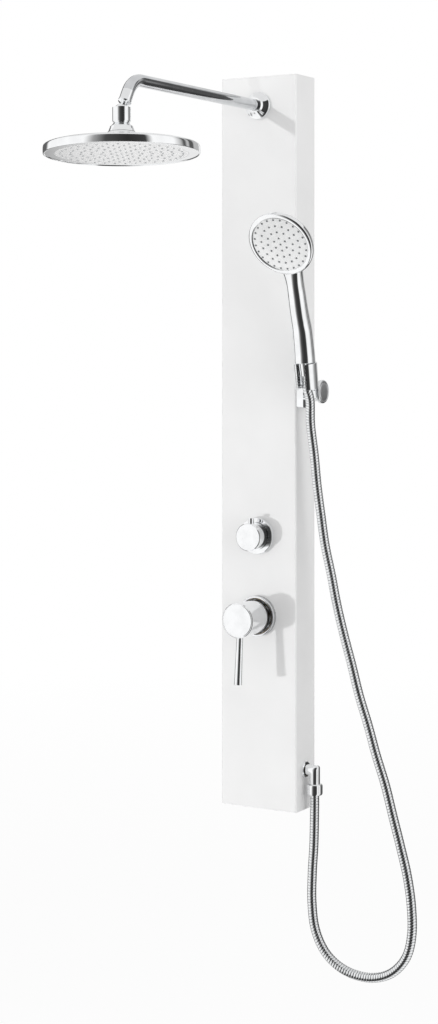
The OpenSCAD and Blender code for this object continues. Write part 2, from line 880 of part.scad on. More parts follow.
module mixer_lock_nut() {
    color("goldenrod")
        front(mixer_z)
            ring(lock_nut_r, mixer_neck_d / 2 + thread_gap, 0, mixer_nut_h);
}

module mixer_rosette() {
    r = mixer_ring_d / 2;
    h = mixer_ring_h;
    color("silver")
        front(mixer_z) rotate_extrude()
            polygon([
                [r - ring_edge - mixer_bevel, 0], [r, 0], [r, h - 0.8], [r - 0.8, h],
                [r - ring_edge, h], [r - ring_edge - mixer_bevel, h - mixer_bevel]
            ]);
}

module mixer_driver() {
    half = stem_w / 2 + part_gap;
    color("darkgray")
        front(mixer_z) difference() {
            union() {
                bar(shaft_r, shaft_from + part_gap, driver_from + 1);
                bar(driver_r, driver_from, driver_to);
            }
            translate([-half, -driver_r - eps, slot_floor])
                cube([2 * half, 2 * driver_r + 2 * eps, driver_to]);
            translate([-driver_r - eps, 0, tilt_out]) rotate([0, 90, 0])
                cylinder(r = tilt_pin_d / 2 + run_gap, h = 2 * driver_r + 2 * eps);
        }
}

module tilt_pin() {
    color("silver")
        front(mixer_z) translate([1.5 - driver_r, 0, tilt_out]) rotate([0, 90, 0])
            cylinder(r = tilt_pin_d / 2, h = 2 * driver_r - 3);
}

module mixer_stem() {
    w = stem_w;
    color("darkgray")
        front(mixer_z) difference() {
            union() {
                translate([-w / 2, 0, tilt_out]) rotate([0, 90, 0])
                    cylinder(r = w / 2, h = w);
                translate([-w / 2, -w / 2, tilt_out]) cube([w, w, driver_to - tilt_out + 2]);
                bar(stem_d / 2, driver_to + 1, stem_end);
            }
            translate([-w, 0, tilt_out]) rotate([0, 90, 0])
                cylinder(r = tilt_pin_d / 2 + run_gap, h = 2 * w);
        }
}

module mixer_handle() {
    r0 = barrel_back_d / 2;
    r1 = barrel_d / 2;
    hollow = r0 - barrel_wall;
    seat = barrel_out - mixer_cap_t;
    color("silver")
        front(mixer_z) difference() {
            rotate_extrude()
                polygon([
                    [stem_d / 2 + run_gap, hub_from], [hub_r, hub_from], [hub_r, web_out],
                    [hollow, web_out], [hollow, barrel_back], [r0, barrel_back],
                    [r1, barrel_out - 0.8], [r1 - 0.8, barrel_out],
                    [cap_seat_r, barrel_out], [cap_seat_r, seat], [hollow, seat],
                    [hollow, web_out + web_t], [stem_d / 2 + run_gap, web_out + web_t]
                ]);
            translate([0, 0, lever_out]) rotate([90 - lever_lean, 0, 0])
                translate([0, 0, hollow - 3])
                    cylinder(r = lever_d / 2 + thread_gap, h = 12);
            translate([0, 0, grub_out]) rotate([90, 0, 0])
                cylinder(r = grub_d / 2 + run_gap, h = hub_r + 3);
        }
}

module mixer_cap() {
    color("whitesmoke")
        front(mixer_z) rotate_extrude()
            polygon([
                [0, barrel_out - mixer_cap_t], [cap_seat_r - 0.1, barrel_out - mixer_cap_t],
                [cap_seat_r - 0.1, barrel_out], [cap_seat_r - 1, barrel_out + 0.4],
                [0, barrel_out + 0.4]
            ]);
}

// The children's Z is the lever's line, starting on the barrel's axis.
module lever_line() {
    front(mixer_z) translate([0, 0, lever_out]) rotate([90 - lever_lean, 0, 0]) children();
}

module mixer_lever() {
    from = barrel_back_d / 2 - barrel_wall - 0.2;
    foot = barrel_d / 2 + lever_len;
    color("silver")
        lever_line() rotate_extrude()
            polygon([
                [0, from], [lever_d / 2, from], [lever_d / 2, barrel_d / 2 + 1],
                [lever_end_d / 2, foot - 0.5], [lever_end_d / 2 - 0.5, foot], [0, foot]
            ]);
}

module grub_screw() {
    color("dimgray")
        front(mixer_z) translate([0, 0, grub_out]) rotate([90, 0, 0])
            translate([0, 0, stem_d / 2 + run_gap])
                cylinder(r = grub_d / 2, h = hub_r - stem_d / 2 - 0.5);
}

module diverter_body() {
    color("goldenrod")
    difference() {
        union() {
            front(diverter_z) bar(div_r, -sheet - valve_depth, -sheet);
            front(diverter_z) bar(div_neck_d / 2, -sheet - 1, div_neck_out);
            translate([0, -pipe_y, diverter_z - div_r - socket_up])
                cylinder(r = socket_out_r, h = 2 * div_r + 2 * socket_up);
            translate([0, -pipe_y, diverter_z]) rotate([0, 90, 0])
                cylinder(r = socket_out_r, h = side_port);
        }
        front(diverter_z) bar(div_cartridge_r + run_gap, -cartridge_in, div_neck_out + eps);
        front(diverter_z) bar(pipe_r, -pipe_h, 0);
        for (a = [0, 180])
            translate([0, -pipe_y, diverter_z]) rotate([0, a, 0]) {
                cylinder(r = pipe_r - pipe_wall, h = div_r + socket_up);
                translate([0, 0, div_r + socket_up - pipe_socket])
                    cylinder(r = pipe_r + run_gap, h = pipe_socket + eps);
            }
        translate([0, -pipe_y, diverter_z]) rotate([0, 90, 0]) {
            cylinder(r = pipe_r - pipe_wall, h = side_port);
            translate([0, 0, side_port - pipe_socket])
                cylinder(r = pipe_r + run_gap, h = pipe_socket + eps);
        }
    }
}

module diverter_cartridge() {
    color("ivory")
        front(diverter_z)
            difference() {
                bar(div_cartridge_r, -cartridge_in, div_neck_out);
                bar(spindle_r + run_gap, shaft_from, div_neck_out + eps);
            }
}

module diverter_lock_nut() {
    color("goldenrod")
        front(diverter_z)
            hex_nut(div_neck_d / 2 + 4.5, div_neck_d / 2 + thread_gap, 0, 4);
}

module diverter_rosette() {
    r = div_ring_d / 2;
    h = div_ring_h;
    a = div_neck_d / 2 + 0.3;
    color("silver")
        front(diverter_z) rotate_extrude()
            polygon([
                [r - 2, 0], [r, 0], [r, h - 0.8], [r - 0.8, h], [a, h], [a, h - 2],
                [r - 2, h - 2]
            ]);
}

module diverter_spindle() {
    color("darkgray")
        front(diverter_z) bar(spindle_r, shaft_from + part_gap, spindle_to);
}

module diverter_knob() {
    r = div_knob_d / 2;
    color("silver")
        front(diverter_z) difference() {
            rotate_extrude()
                polygon([
                    [0, div_out], [r - 1, div_out], [r, div_out - 1], [r, div_back],
                    [r - div_wall, div_back], [r - div_wall, div_out - div_wall],
                    [spindle_r + 3, div_out - div_wall], [spindle_r + 3, div_back + 4],
                    [spindle_r + run_gap, div_back + 4], [spindle_r + run_gap, spindle_to],
                    [0, spindle_to]
                ]);
            translate([0, 0, div_pin_at]) rotate([-90, 0, 0])
                translate([0, 0, r / 2]) cylinder(r = div_pin_r + thread_gap, h = r);
        }
}

module diverter_pin() {
    from = div_knob_d / 2 - div_wall - 1;
    color("silver")
        front(diverter_z) translate([0, 0, div_pin_at]) rotate([-90, 0, 0])
            translate([0, 0, from])
                cylinder(r = div_pin_r, h = div_wall + 1 + div_pin_out);
}

// A straight inner pipe between two heights
module upright_pipe(x, from, to) {
    color("peru")
        translate([x, -pipe_y, 0]) ring(pipe_r, pipe_r - pipe_wall, from, to);
}

module warm_pipe() {
    upright_pipe(0, warm_from, warm_to);
}

module riser_pipe() {
    upright_pipe(0, riser_from, riser_to);
}

// The outlet pipe's bend, as a solid of a given radius
module outlet_turn(r) {
    translate([outlet_pipe_x - pipe_bend_r, -pipe_y, diverter_z - pipe_bend_r])
        rotate([90, 0, 0])
            rotate_extrude(angle = 90) translate([pipe_bend_r, 0]) circle(r = r);
}

module outlet_pipe() {
    from = side_port - pipe_socket;
    bore = pipe_r - pipe_wall;
    color("peru")
    union() {
        translate([0, -pipe_y, diverter_z]) rotate([0, 90, 0])
            ring(pipe_r, bore, from, outlet_pipe_x - pipe_bend_r);
        difference() {
            outlet_turn(pipe_r);
            outlet_turn(bore);
        }
        translate([outlet_pipe_x, -pipe_y, 0])
            ring(pipe_r, bore, outlet_z + union_up - pipe_socket, diverter_z - pipe_bend_r);
    }
}

// One pipe nut, standing on the end of a socket
module pipe_nut() {
    hex_nut(pipe_nut_r, pipe_r + thread_gap, 0, pipe_nut_h);
}

module pipe_nuts() {
    color("goldenrod") {
        translate([0, -pipe_y, warm_from + pipe_socket]) pipe_nut();
        translate([0, -pipe_y, warm_to - pipe_socket - pipe_nut_h]) pipe_nut();
        translate([0, -pipe_y, riser_from + pipe_socket]) pipe_nut();
        translate([0, -pipe_y, riser_to - pipe_socket - pipe_nut_h]) pipe_nut();
        translate([side_port, -pipe_y, diverter_z]) rotate([0, 90, 0]) pipe_nut();
        translate([outlet_pipe_x, -pipe_y, outlet_z + union_up]) pipe_nut();
    }
}

module outlet_union() {
    color("goldenrod")
    difference() {
        union() {
            side(pipe_y, outlet_z) bar(union_r, -union_len, -sheet);
            translate([outlet_pipe_x, -pipe_y, outlet_z])
                cylinder(r = socket_out_r, h = union_up);
        }
        side(pipe_y, outlet_z) bar(tail_r + thread_gap, -tail_len - 0.5, 0);
        side(pipe_y, outlet_z) bar(pipe_r - pipe_wall, -union_len + 3, 0);
        translate([outlet_pipe_x, -pipe_y, outlet_z])
            cylinder(r = pipe_r - pipe_wall, h = union_up);
        translate([outlet_pipe_x, -pipe_y, outlet_z + union_up - pipe_socket])
            cylinder(r = pipe_r + run_gap, h = pipe_socket + eps);
    }
}

module outlet_rosette() {
    r = outlet_ring_d / 2;
    color("silver")
        side(pipe_y, outlet_z) rotate_extrude()
            polygon([
                [tail_r + 0.2, 0], [r, 0], [r, outlet_ring_h - 1], [r - 1, outlet_ring_h],
                [tail_r + 0.2, outlet_ring_h]
            ]);
}

// The outlet elbow's run, as a solid of a given radius
module outlet_run(r, from) {
    cx = outlet_x - outlet_bend_r;
    cz = outlet_z - outlet_bend_r;
    side(pipe_y, outlet_z) bar(r, from, outlet_reach - outlet_bend_r);
    translate([cx, -pipe_y, cz]) rotate([90, 0, 0])
        rotate_extrude(angle = 90) translate([outlet_bend_r, 0]) circle(r = r);
    translate([outlet_x, -pipe_y, nut_top]) cylinder(r = r, h = cz - nut_top);
}

module outlet_elbow() {
    color("silver")
    difference() {
        union() {
            outlet_run(outlet_r, outlet_ring_h);
            side(pipe_y, outlet_z) bar(tail_r, -tail_len, outlet_ring_h);
            translate([outlet_x, -pipe_y, nut_bottom + 6])
                cylinder(r = spigot_end_r, h = hose_nut_h - 5);
        }
        outlet_run(hose_bore / 2, -tail_len - eps);
        translate([outlet_x, -pipe_y, nut_bottom + 5])
            cylinder(r = hose_bore / 2, h = hose_nut_h - 4);
    }
}

module hose_nut() {
    r = hose_nut_d / 2;
    a = spigot_end_r + thread_gap;
    h = hose_nut_h;
    color("silver")
        translate([outlet_x, -pipe_y, nut_bottom]) rotate_extrude()
            polygon([
                [hose_bore / 2, 0], [r - 3, 0], [r - 0.8, 1.2], [r, 3.4], [r, h - 3.4],
                [r - 0.8, h - 1.2], [r - 3, h], [a, h], [a, 6], [hose_bore / 2, 6]
            ]);
}

module holder_base() {
    r = 3;
    low = -base_z / 2 - 4;
    color("silver")
        side(holder_y, holder_z) difference() {
            linear_extrude(base_x) {
                translate([-base_y / 2 + r, low]) square([base_y - 2 * r, base_z]);
                translate([-base_y / 2, low + r]) square([base_y, base_z - 2 * r]);
                for (x = [-1, 1], y = [low + r, low + base_z - r])
                    translate([x * (base_y / 2 - r), y]) circle(r = r);
            }
            bar(bolt_d / 2 + run_gap, -eps, base_x + eps);
        }
}

module holder_bolt() {
    color("darkgray")
        side(holder_y, holder_z) {
            bar(bolt_head_d / 2, -sheet - 5, -sheet);
            bar(bolt_d / 2, -sheet - 1, bolt_end);
        }
}

module holder_cup() {
    r1 = cup_top_d / 2;
    r0 = cup_foot_d / 2;
    b1 = cone_top_d / 2 + cone_gap;
    b0 = cone_end_d / 2 + cone_gap;
    color("silver")
    difference() {
        union() {
            side(holder_y, holder_z) bar(holder_d / 2, base_x, base_x + holder_len);
            translate([cup_x - neck_half, cup_y + r0 - 4, cup_z + 1])
                cube([neck_half + barrel_end - cup_x, cup_fwd - r0 + 4, 8]);
            cup() cylinder(r1 = r0, r2 = r1, h = cup_h);
        }
        side(holder_y, holder_z)
            bar(bolt_d / 2 + run_gap, base_x - eps, base_x + holder_len + eps);
        cup() rotate_extrude()
            polygon([
                [0, -eps], [b0, -eps], [b0, cone_from], [b1, cup_h], [b1, cup_h + eps],
                [0, cup_h + eps]
            ]);
        cup() translate([-cup_slot / 2, -cup_top_d, -eps])
            cube([cup_slot, cup_top_d, cup_h + 2 * eps]);
    }
}

module holder_knob() {
    r = holder_knob_d / 2;
    from = base_x + holder_len;
    to = from + holder_knob_h;
    color("silver")
        side(holder_y, holder_z) rotate_extrude()
            polygon([
                [bolt_d / 2 + run_gap, from], [r - 1.5, from], [r, to - 2], [r - 1.2, to],
                [0, to], [0, bolt_end + 0.3], [bolt_d / 2 + run_gap, bolt_end + 0.3]
            ]);
}

module cone_nut() {
    color("silver")
        cup() difference() {
            translate([0, 0, cone_from])
                cylinder(r1 = cone_end_d / 2, r2 = cone_top_d / 2, h = cone_h + grip_gap);
            bar(hose_bore / 2, cone_from - eps, cup_h + grip_gap + eps);
        }
}

// The direction of the handle's middle line at one of its points, as y and z
function grip_dir(i) =
    i == 0 ? [-sin(cup_lean), cos(cup_lean)] :
    let (a = grip_line[i - 1], b = grip_line[min(i + 1, len(grip_line) - 1)])
        (b - a) / norm(b - a);

// A closed loft along the handle's middle line, thinned by a wall
module grip_loft(wall, first) {
    n = grip_sides;
    last = len(grip_line) - 1;
    pts = [
        for (i = [first : last])
            let (d = grip_dir(i), c = grip_line[i], r = grip_radii[i] - wall)
                for (k = [0 : n - 1])
                    let (a = 360 * k / n)
                        [
                            cup_x + r * cos(a),
                            c[0] + r * sin(a) * d[1],
                            c[1] - r * sin(a) * d[0]
                        ]
    ];
    rings = last - first;
    polyhedron(
        points = pts,
        faces = concat(
            [[for (k = [n - 1 : -1 : 0]) rings * n + k]],
            [[for (k = [0 : n - 1]) k]],
            [
                for (i = [0 : rings - 1], k = [0 : n - 1])
                    [i * n + k, (i + 1) * n + k, (i + 1) * n + (k + 1) % n]
            ],
            [
                for (i = [0 : rings - 1], k = [0 : n - 1])
                    [i * n + k, (i + 1) * n + (k + 1) % n, i * n + (k + 1) % n]
            ]
        )
    );
}

// The head's back as a solid of revolution, drawn in by a wall
module hand_dish(w, front_at) {
    r = hand_r - w;
    d = hand_depth - w;
    rotate_extrude()
        polygon([
            [0, front_at], [r, front_at], [r, -hand_lip - 2], [r - 2.2, -hand_lip - 5.5],
            [r - 10, -d + 5], [r - 29.6, -d + 0.7], [0, -d]
        ]);
}

module handset_body() {
    color("silver")
    difference() {
        union() {
            spray() hand_dish(0, -hand_lip);
            grip_loft(0, 0);
        }
        spray() hand_dish(hand_wall, eps);
        spray() bar(hand_r + 0.3, -hand_lip, 20);
        grip_loft(hand_wall, 1);
        cup() bar(hose_bore / 2, cup_h - eps, cup_h + 20);
    }
}

module handset_ring() {
    color("silver")
        spray() ring(hand_r, hand_face_r + plate_gap, -hand_lip, 0);
}

module handset_face() {
    color("whitesmoke")
        spray() difference() {
            bar(hand_face_r, -hand_lip, -0.6);
            nozzle_places(hand_rings, hand_pitch)
                bar(nozzle_r + 0.1, -hand_lip - eps, eps);
        }
}

module handset_nozzles() {
    color("slategray")
        spray() {
            bar(hand_face_r + 1, -hand_lip - mat_t, -hand_lip);
            nozzle_places(hand_rings, hand_pitch)
                bar(nozzle_r, -hand_lip - mat_t / 2, nozzle_out - 0.6);
        }
}

// A smooth curve through the route's points: u runs from 0 to the number of spans.
function way(u) =
    let (
        n = len(route) - 1,
        i = min(floor(u), n - 1),
        t = u - i,
        b = route[i],
        c = route[i + 1],
        a = i == 0 ? 2 * b - c : route[i - 1],
        d = i == n - 1 ? 2 * c - b : route[i + 2]
    )
        0.5 * (2 * b + (c - a) * t + (2 * a - 5 * b + 4 * c - d) * t * t
            + (3 * b - a - 3 * c + d) * t * t * t);

function way_dir(u) =
    let (
        n = len(route) - 1,
        p = way(min(u + 0.02, n)) - way(max(u - 0.02, 0))
    )
        p / norm(p);

// The length of every span of the route, and the running total at its end
spans = [for (i = [0 : len(route) - 2]) norm(way(i + 0.5) - way(i)) + norm(way(i + 1) - way(i + 0.5))];
function total(i) = i < 0 ? 0 : spans[i] + total(i - 1);
totals = [for (i = [0 : len(spans) - 1]) total(i)];
hose_len = totals[len(totals) - 1];

// The place on the route at a distance s from its start
function place(s) =
    let (
        i = min([for (k = [0 : len(totals) - 1]) if (totals[k] >= s - 0.0001) k]),
        before = i == 0 ? 0 : totals[i - 1]
    )
        i + max(0, min(1, (s - before) / spans[i]));

function hose_ring(s, r) =
    let (
        u = place(s),
        c = way(u),
        d = way_dir(u),
        e = cross(d, [0, 1, 0]) / norm(cross(d, [0, 1, 0])),
        f = cross(d, e)
    )
        [for (k = [0 : 7]) c + r * cos(45 * k + 22.5) * e + r * sin(45 * k + 22.5) * f];

module shower_hose() {
    steps = 2 * ribs;
    outer = [
        for (i = [0 : steps])
            each hose_ring(hose_len * i / steps, i % 2 == 1 ? hose_r : hose_r - rib_depth)
    ];
    inner = [
        for (i = [0 : bore_steps])
            each hose_ring(hose_len * i / bore_steps, hose_tube_bore / 2)
    ];
    m = len(outer);
    color("lightgray")
        polyhedron(
            points = concat(outer, inner),
            faces = concat(
                [
                    for (i = [0 : steps - 1], k = [0 : 7])
                        [8 * i + k, 8 * i + 8 + k, 8 * i + 8 + (k + 1) % 8]
                ],
                [
                    for (i = [0 : steps - 1], k = [0 : 7])
                        [8 * i + k, 8 * i + 8 + (k + 1) % 8, 8 * i + (k + 1) % 8]
                ],
                [
                    for (i = [0 : bore_steps - 1], k = [0 : 7])
                        [m + 8 * i + k, m + 8 * i + 8 + (k + 1) % 8, m + 8 * i + 8 + k]
                ],
                [
                    for (i = [0 : bore_steps - 1], k = [0 : 7])
                        [m + 8 * i + k, m + 8 * i + (k + 1) % 8, m + 8 * i + 8 + (k + 1) % 8]
                ],
                [for (k = [0 : 7]) [k, (k + 1) % 8, m + (k + 1) % 8]],
                [for (k = [0 : 7]) [k, m + (k + 1) % 8, m + k]],
                [
                    for (k = [0 : 7])
                        [
                            8 * steps + k, m + 8 * bore_steps + (k + 1) % 8,
                            8 * steps + (k + 1) % 8
                        ]
                ],
                [
                    for (k = [0 : 7])
                        [
                            8 * steps + k, m + 8 * bore_steps + k,
                            m + 8 * bore_steps + (k + 1) % 8
                        ]
                ]
            )
        );
}

panel_shell();
top_cap();
bottom_cap();
hook_rails();
wall_brackets();
arm_connector();
arm_gasket();
arm_lock_nut();
arm_flange();
shower_arm();
arm_collar();
ball_stud();
ball_seat_lower();
ball_seat_upper();
swivel_nut();
swivel_socket();
head_shell();
head_ring();
head_face();
head_nozzles();
mixer_body();
mixer_cartridge();
cartridge_nut();
mixer_lock_nut();
mixer_rosette();
mixer_driver();
tilt_pin();
mixer_stem();
mixer_handle();
mixer_cap();
mixer_lever();
grub_screw();
diverter_body();
diverter_cartridge();
diverter_lock_nut();
diverter_rosette();
diverter_spindle();
diverter_knob();
diverter_pin();
warm_pipe();
riser_pipe();
outlet_pipe();
pipe_nuts();
outlet_union();
outlet_rosette();
outlet_elbow();
hose_nut();
holder_base();
holder_bolt();
holder_cup();
holder_knob();
cone_nut();
handset_body();
handset_ring();
handset_face();
handset_nozzles();
shower_hose();
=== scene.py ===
"""Shower column: dressing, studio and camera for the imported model.

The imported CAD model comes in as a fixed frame. Its solids keep their places and get
finishes, and a few pieces with finer forms stand in for plain solids: the ribbed hose, the
head's dome, the nozzles, the handset's body and rim, the arm's ball, the mixer's rosette,
the outlet's elbow and the clamp knob. Lengths are in metres, or in millimetres where a
comment says so, in the row frame: X to the right, Y into the wall, Z up, origin between
the wall screws.
"""

import logging
import math
from dataclasses import dataclass
from enum import Enum
from typing import Any, Mapping, Sequence

import bpy
import numpy as np
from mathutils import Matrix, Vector


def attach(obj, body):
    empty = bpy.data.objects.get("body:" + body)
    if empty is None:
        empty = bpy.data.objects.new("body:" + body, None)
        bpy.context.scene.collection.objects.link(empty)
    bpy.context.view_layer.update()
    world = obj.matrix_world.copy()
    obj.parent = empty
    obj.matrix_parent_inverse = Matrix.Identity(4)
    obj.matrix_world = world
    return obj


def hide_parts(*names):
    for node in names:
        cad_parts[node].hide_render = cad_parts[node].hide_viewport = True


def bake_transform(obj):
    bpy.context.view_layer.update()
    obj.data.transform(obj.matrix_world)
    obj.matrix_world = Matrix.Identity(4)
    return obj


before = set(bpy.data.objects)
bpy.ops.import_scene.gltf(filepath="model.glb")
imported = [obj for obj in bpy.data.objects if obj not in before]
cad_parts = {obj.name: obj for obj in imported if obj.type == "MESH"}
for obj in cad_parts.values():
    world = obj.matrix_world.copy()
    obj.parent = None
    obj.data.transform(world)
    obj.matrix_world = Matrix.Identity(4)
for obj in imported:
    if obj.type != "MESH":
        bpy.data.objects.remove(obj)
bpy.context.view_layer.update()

MM = 0.001
EDGE_SAMPLES = 4
GROOVE_DEPTH = "groove_depth"
BALL = np.array([0.0, -0.470941, 0.502036])
LOG = logging.getLogger("shower_column")

Material = bpy.types.Material
Piece = bpy.types.Object
Socket = bpy.types.NodeSocket
Tree = bpy.types.NodeTree
Rows = np.ndarray
Colour = tuple[float, float, float, float]
Point = tuple[float, float, float]
Pair = tuple[float, float]

WHITE: Colour = (1.0, 1.0, 1.0, 1.0)


class Body(str, Enum):
    """The CAD bodies that pieces ride on."""

    COLUMN = "column"
    HOLDER = "holder_arm"
    HOLDER_KNOB = "holder_clamp"
    RAIN_HEAD = "rain_head"
    HANDSET = "handset"


class Slot(str, Enum):
    """Names of the record's material slots, passed along with new pieces."""

    CHROME = "chrome"
    HOSE = "hose_steel"
    NOZZLE = "grey_rubber"


class LampKind(str, Enum):
    """The kinds of lamp in the studio."""

    CARD = "AREA"
    SPOT = "SPOT"


# ---- colour and nodes


def linear(code: str) -> Colour:
    """Turn an sRGB hex colour into linear red, green, blue and alpha.

    Args:
        code: Six hex digits after a hash, such as "#F0F0EF".

    Returns:
        The linear colour with an alpha of 1.
    """
    parts = [int(code[i : i + 2], 16) / 255 for i in (1, 3, 5)]
    flat = [c / 12.92 if c <= 0.04045 else ((c + 0.055) / 1.055) ** 2.4 for c in parts]
    return flat[0], flat[1], flat[2], 1.0


def add_node(
    tree: Tree,
    kind: str,
    settings: Mapping[str, Any] | None = None,
    inputs: Mapping[str | int, Any] | None = None,
) -> bpy.types.Node:
    """Add a shader node, set its fields and sockets, and link its inputs.

    Args:
        tree: The node tree that gets the node.
        kind: The node's type name.
        settings: Fields of the node itself, by name.
        inputs: Sockets by name or number, each with a value or an output to link.

    Returns:
        The new node.
    """
    node = tree.nodes.new(kind)
    for name, value in (settings or {}).items():
        setattr(node, name, value)
    for key, value in (inputs or {}).items():
        if isinstance(value, Socket):
            tree.links.new(value, node.inputs[key])
        else:
            node.inputs[key].default_value = value
    return node


def emptied(made: Any) -> Tree:
    """Turn on the nodes of a material or a world, and return its emptied tree."""
    made.use_nodes = True
    made.node_tree.nodes.clear()
    return made.node_tree


def add_object(name: str, data: Any) -> Piece:
    """Put a mesh, a lamp or a camera into the scene as an object."""
    made = bpy.data.objects.new(name, data)
    bpy.context.scene.collection.objects.link(made)
    return made


def object_place(tree: Tree) -> Socket:
    """Return the point on the piece, in metres."""
    return add_node(tree, "ShaderNodeTexCoord").outputs["Object"]


def ramp(tree: Tree, source: Socket, stops: Sequence[tuple[float, Colour]]) -> Socket:
    """Map a value to colours that blend from stop to stop.

    Args:
        tree: The node tree.
        source: The value that is mapped, from 0 to 1.
        stops: Places from 0 to 1 and their linear colours, in order.

    Returns:
        The colour output.
    """
    node = add_node(tree, "ShaderNodeValToRGB", inputs={"Fac": source})
    band = node.color_ramp
    band.elements.remove(band.elements[1])
    band.elements[0].position, band.elements[0].color = stops[0]
    for place, colour in stops[1:]:
        band.elements.new(place).color = colour
    return node.outputs["Color"]


def spread(tree: Tree, source: Socket, out: Pair, over: Pair = (0.3, 0.7)) -> Socket:
    """Stretch a range of a value over another range, and hold it beyond the ends.

    Args:
        tree: The node tree.
        source: The value. Noise lies mostly between 0.3 and 0.7.
        out: What the range's two ends become.
        over: The range.

    Returns:
        The stretched value.
    """
    ends = dict(zip(("From Min", "From Max", "To Min", "To Max"), (*over, *out)))
    node = add_node(tree, "ShaderNodeMapRange", inputs={"Value": source, **ends})
    return node.outputs["Result"]


def maths(tree: Tree, operation: str, first: Socket, second: Any) -> Socket:
    """Work out a value from two others, such as the greater of both."""
    inputs = {0: first, 1: second}
    return add_node(tree, "ShaderNodeMath", {"operation": operation}, inputs).outputs[0]


def mix(tree: Tree, share: Any, first: Any, second: Any) -> Socket:
    """Blend two colours, given as outputs or numbers; the share is the second's."""
    inputs = {0: share, 6: first, 7: second}
    return add_node(tree, "ShaderNodeMix", {"data_type": "RGBA"}, inputs).outputs[2]


def mix_shader(tree: Tree, share: Socket, first: Socket, second: Socket) -> Socket:
    """Blend two shaders; the share is the second's."""
    inputs = {0: share, 1: first, 2: second}
    return add_node(tree, "ShaderNodeMixShader", inputs=inputs).outputs[0]


def shader(tree: Tree, kind: str, colour: Any, **inputs: float) -> Socket:
    """Add a plain shader of a kind such as "Emission", and return its output."""
    return add_node(tree, f"ShaderNode{kind}", inputs={"Color": colour, **inputs}).outputs[0]


@dataclass(frozen=True)
class Clouds:
    """A cloud-like pattern.

    Its patches are about size_mm across. The detail is how many finer layers lie on
    them, and rough is how strong those layers are.
    """

    size_mm: float
    detail: float = 2.0
    rough: float = 0.5

    def noise(self, tree: Tree, place: Socket) -> Socket:
        """Return the pattern's value at a place in metres, from 0 to 1."""
        inputs = {
            "Vector": place,
            "Scale": 1000 / self.size_mm,
            "Detail": self.detail,
            "Roughness": self.rough,
        }
        return add_node(tree, "ShaderNodeTexNoise", inputs=inputs).outputs["Fac"]


# ---- finishes


@dataclass(frozen=True)
class Finish:
    """A surface finish: what the part is made of and how its surface was made.

    The shade and the colour lie in patches, wear such as smudges raises the roughness,
    and a fine relief bends the light. An edge radius of 0 leaves sharp edges as they are.
    """

    name: str
    colour: str
    shade: str
    roughness: float
    edge_mm: float
    patches: Clouds = Clouds(9.0, 3.0)
    patch_range: Pair = (0.3, 0.7)
    smudges: Clouds = Clouds(10.0, 3.0)
    wear_range: Pair = (0.3, 0.7)
    dulling: float = 0.15
    relief: Clouds = Clouds(1.5)
    relief_mm: float = 0.01
    relief_strength: float = 0.3

    def material(self) -> Material:
        """Return this finish's material, made once and then shared."""
        made = bpy.data.materials.get(self.name)
        if made is None:
            made = bpy.data.materials.new(self.name)
            self.paint(emptied(made))
        return made

    def paint(self, tree: Tree) -> None:
        """Build the finish's nodes in an empty tree."""
        place = object_place(tree)
        inputs = {
            "Base Color": self.tone(tree, place),
            "Roughness": self.gloss(tree, place),
            "Normal": self.normal(tree, place),
            **self.substance(),
        }
        shader = add_node(tree, "ShaderNodeBsdfPrincipled", inputs=inputs)
        surface = {"Surface": shader.outputs["BSDF"]}
        add_node(tree, "ShaderNodeOutputMaterial", inputs=surface)

    def substance(self) -> dict[str, float]:
        """Return the shader's fixed sockets, which are a metal's unless a kind differs."""
        return {"Metallic": 1.0}

    def codes(self) -> list[str]:
        """Return the colours that the patches run through."""
        return [self.shade, self.colour]

    def tone(self, tree: Tree, place: Socket) -> Socket:
        """Return the colour, which runs evenly through the colours in patches."""
        codes = self.codes()
        stops = zip(np.linspace(*self.patch_range, len(codes)), map(linear, codes))
        return ramp(tree, self.patches.noise(tree, place), list(stops))

    def wear(self, tree: Tree, place: Socket) -> Socket:
        """Return how worn the surface is, which smudges tell."""
        return self.smudges.noise(tree, place)

    def gloss(self, tree: Tree, place: Socket) -> Socket:
        """Return the roughness, which wear raises."""
        ends = (self.roughness, self.roughness + self.dulling)
        return spread(tree, self.wear(tree, place), ends, self.wear_range)

    def height(self, tree: Tree, place: Socket) -> Socket:
        """Return the relief's height, from 0 to 1."""
        return self.relief.noise(tree, place)

    def normal(self, tree: Tree, place: Socket) -> Socket:
        """Return the normal of the relief, laid over the eased edges."""
        inputs = {
            "Strength": self.relief_strength,
            "Distance": self.relief_mm * MM,
            "Height": self.height(tree, place),
        }
        if self.edge_mm:
            inputs["Normal"] = self.eased_edge(tree)
        return add_node(tree, "ShaderNodeBump", inputs=inputs).outputs["Normal"]

    def eased_edge(self, tree: Tree) -> Socket:
        """Return a normal that rolls over sharp edges, as a tumbled edge does."""
        settings, inputs = {"samples": EDGE_SAMPLES}, {"Radius": self.edge_mm * MM}
        return add_node(tree, "ShaderNodeBevel", settings, inputs).outputs["Normal"]


@dataclass(frozen=True)
class ChromePlate(Finish):
    """Bright chrome plated on polished brass.

    Polished, then plated: a near mirror with a cool tone. The polishing wheel leaves a
    slow waviness, and handling leaves patches that are a touch less sharp.
    """

    patches: Clouds = Clouds(22.0, 3.0)
    patch_range: Pair = (0.35, 0.62)
    smudges: Clouds = Clouds(7.0, 4.0, 0.6)
    dulling: float = 0.05
    relief: Clouds = Clouds(14.0, 1.0)
    relief_mm: float = 0.004
    relief_strength: float = 0.35


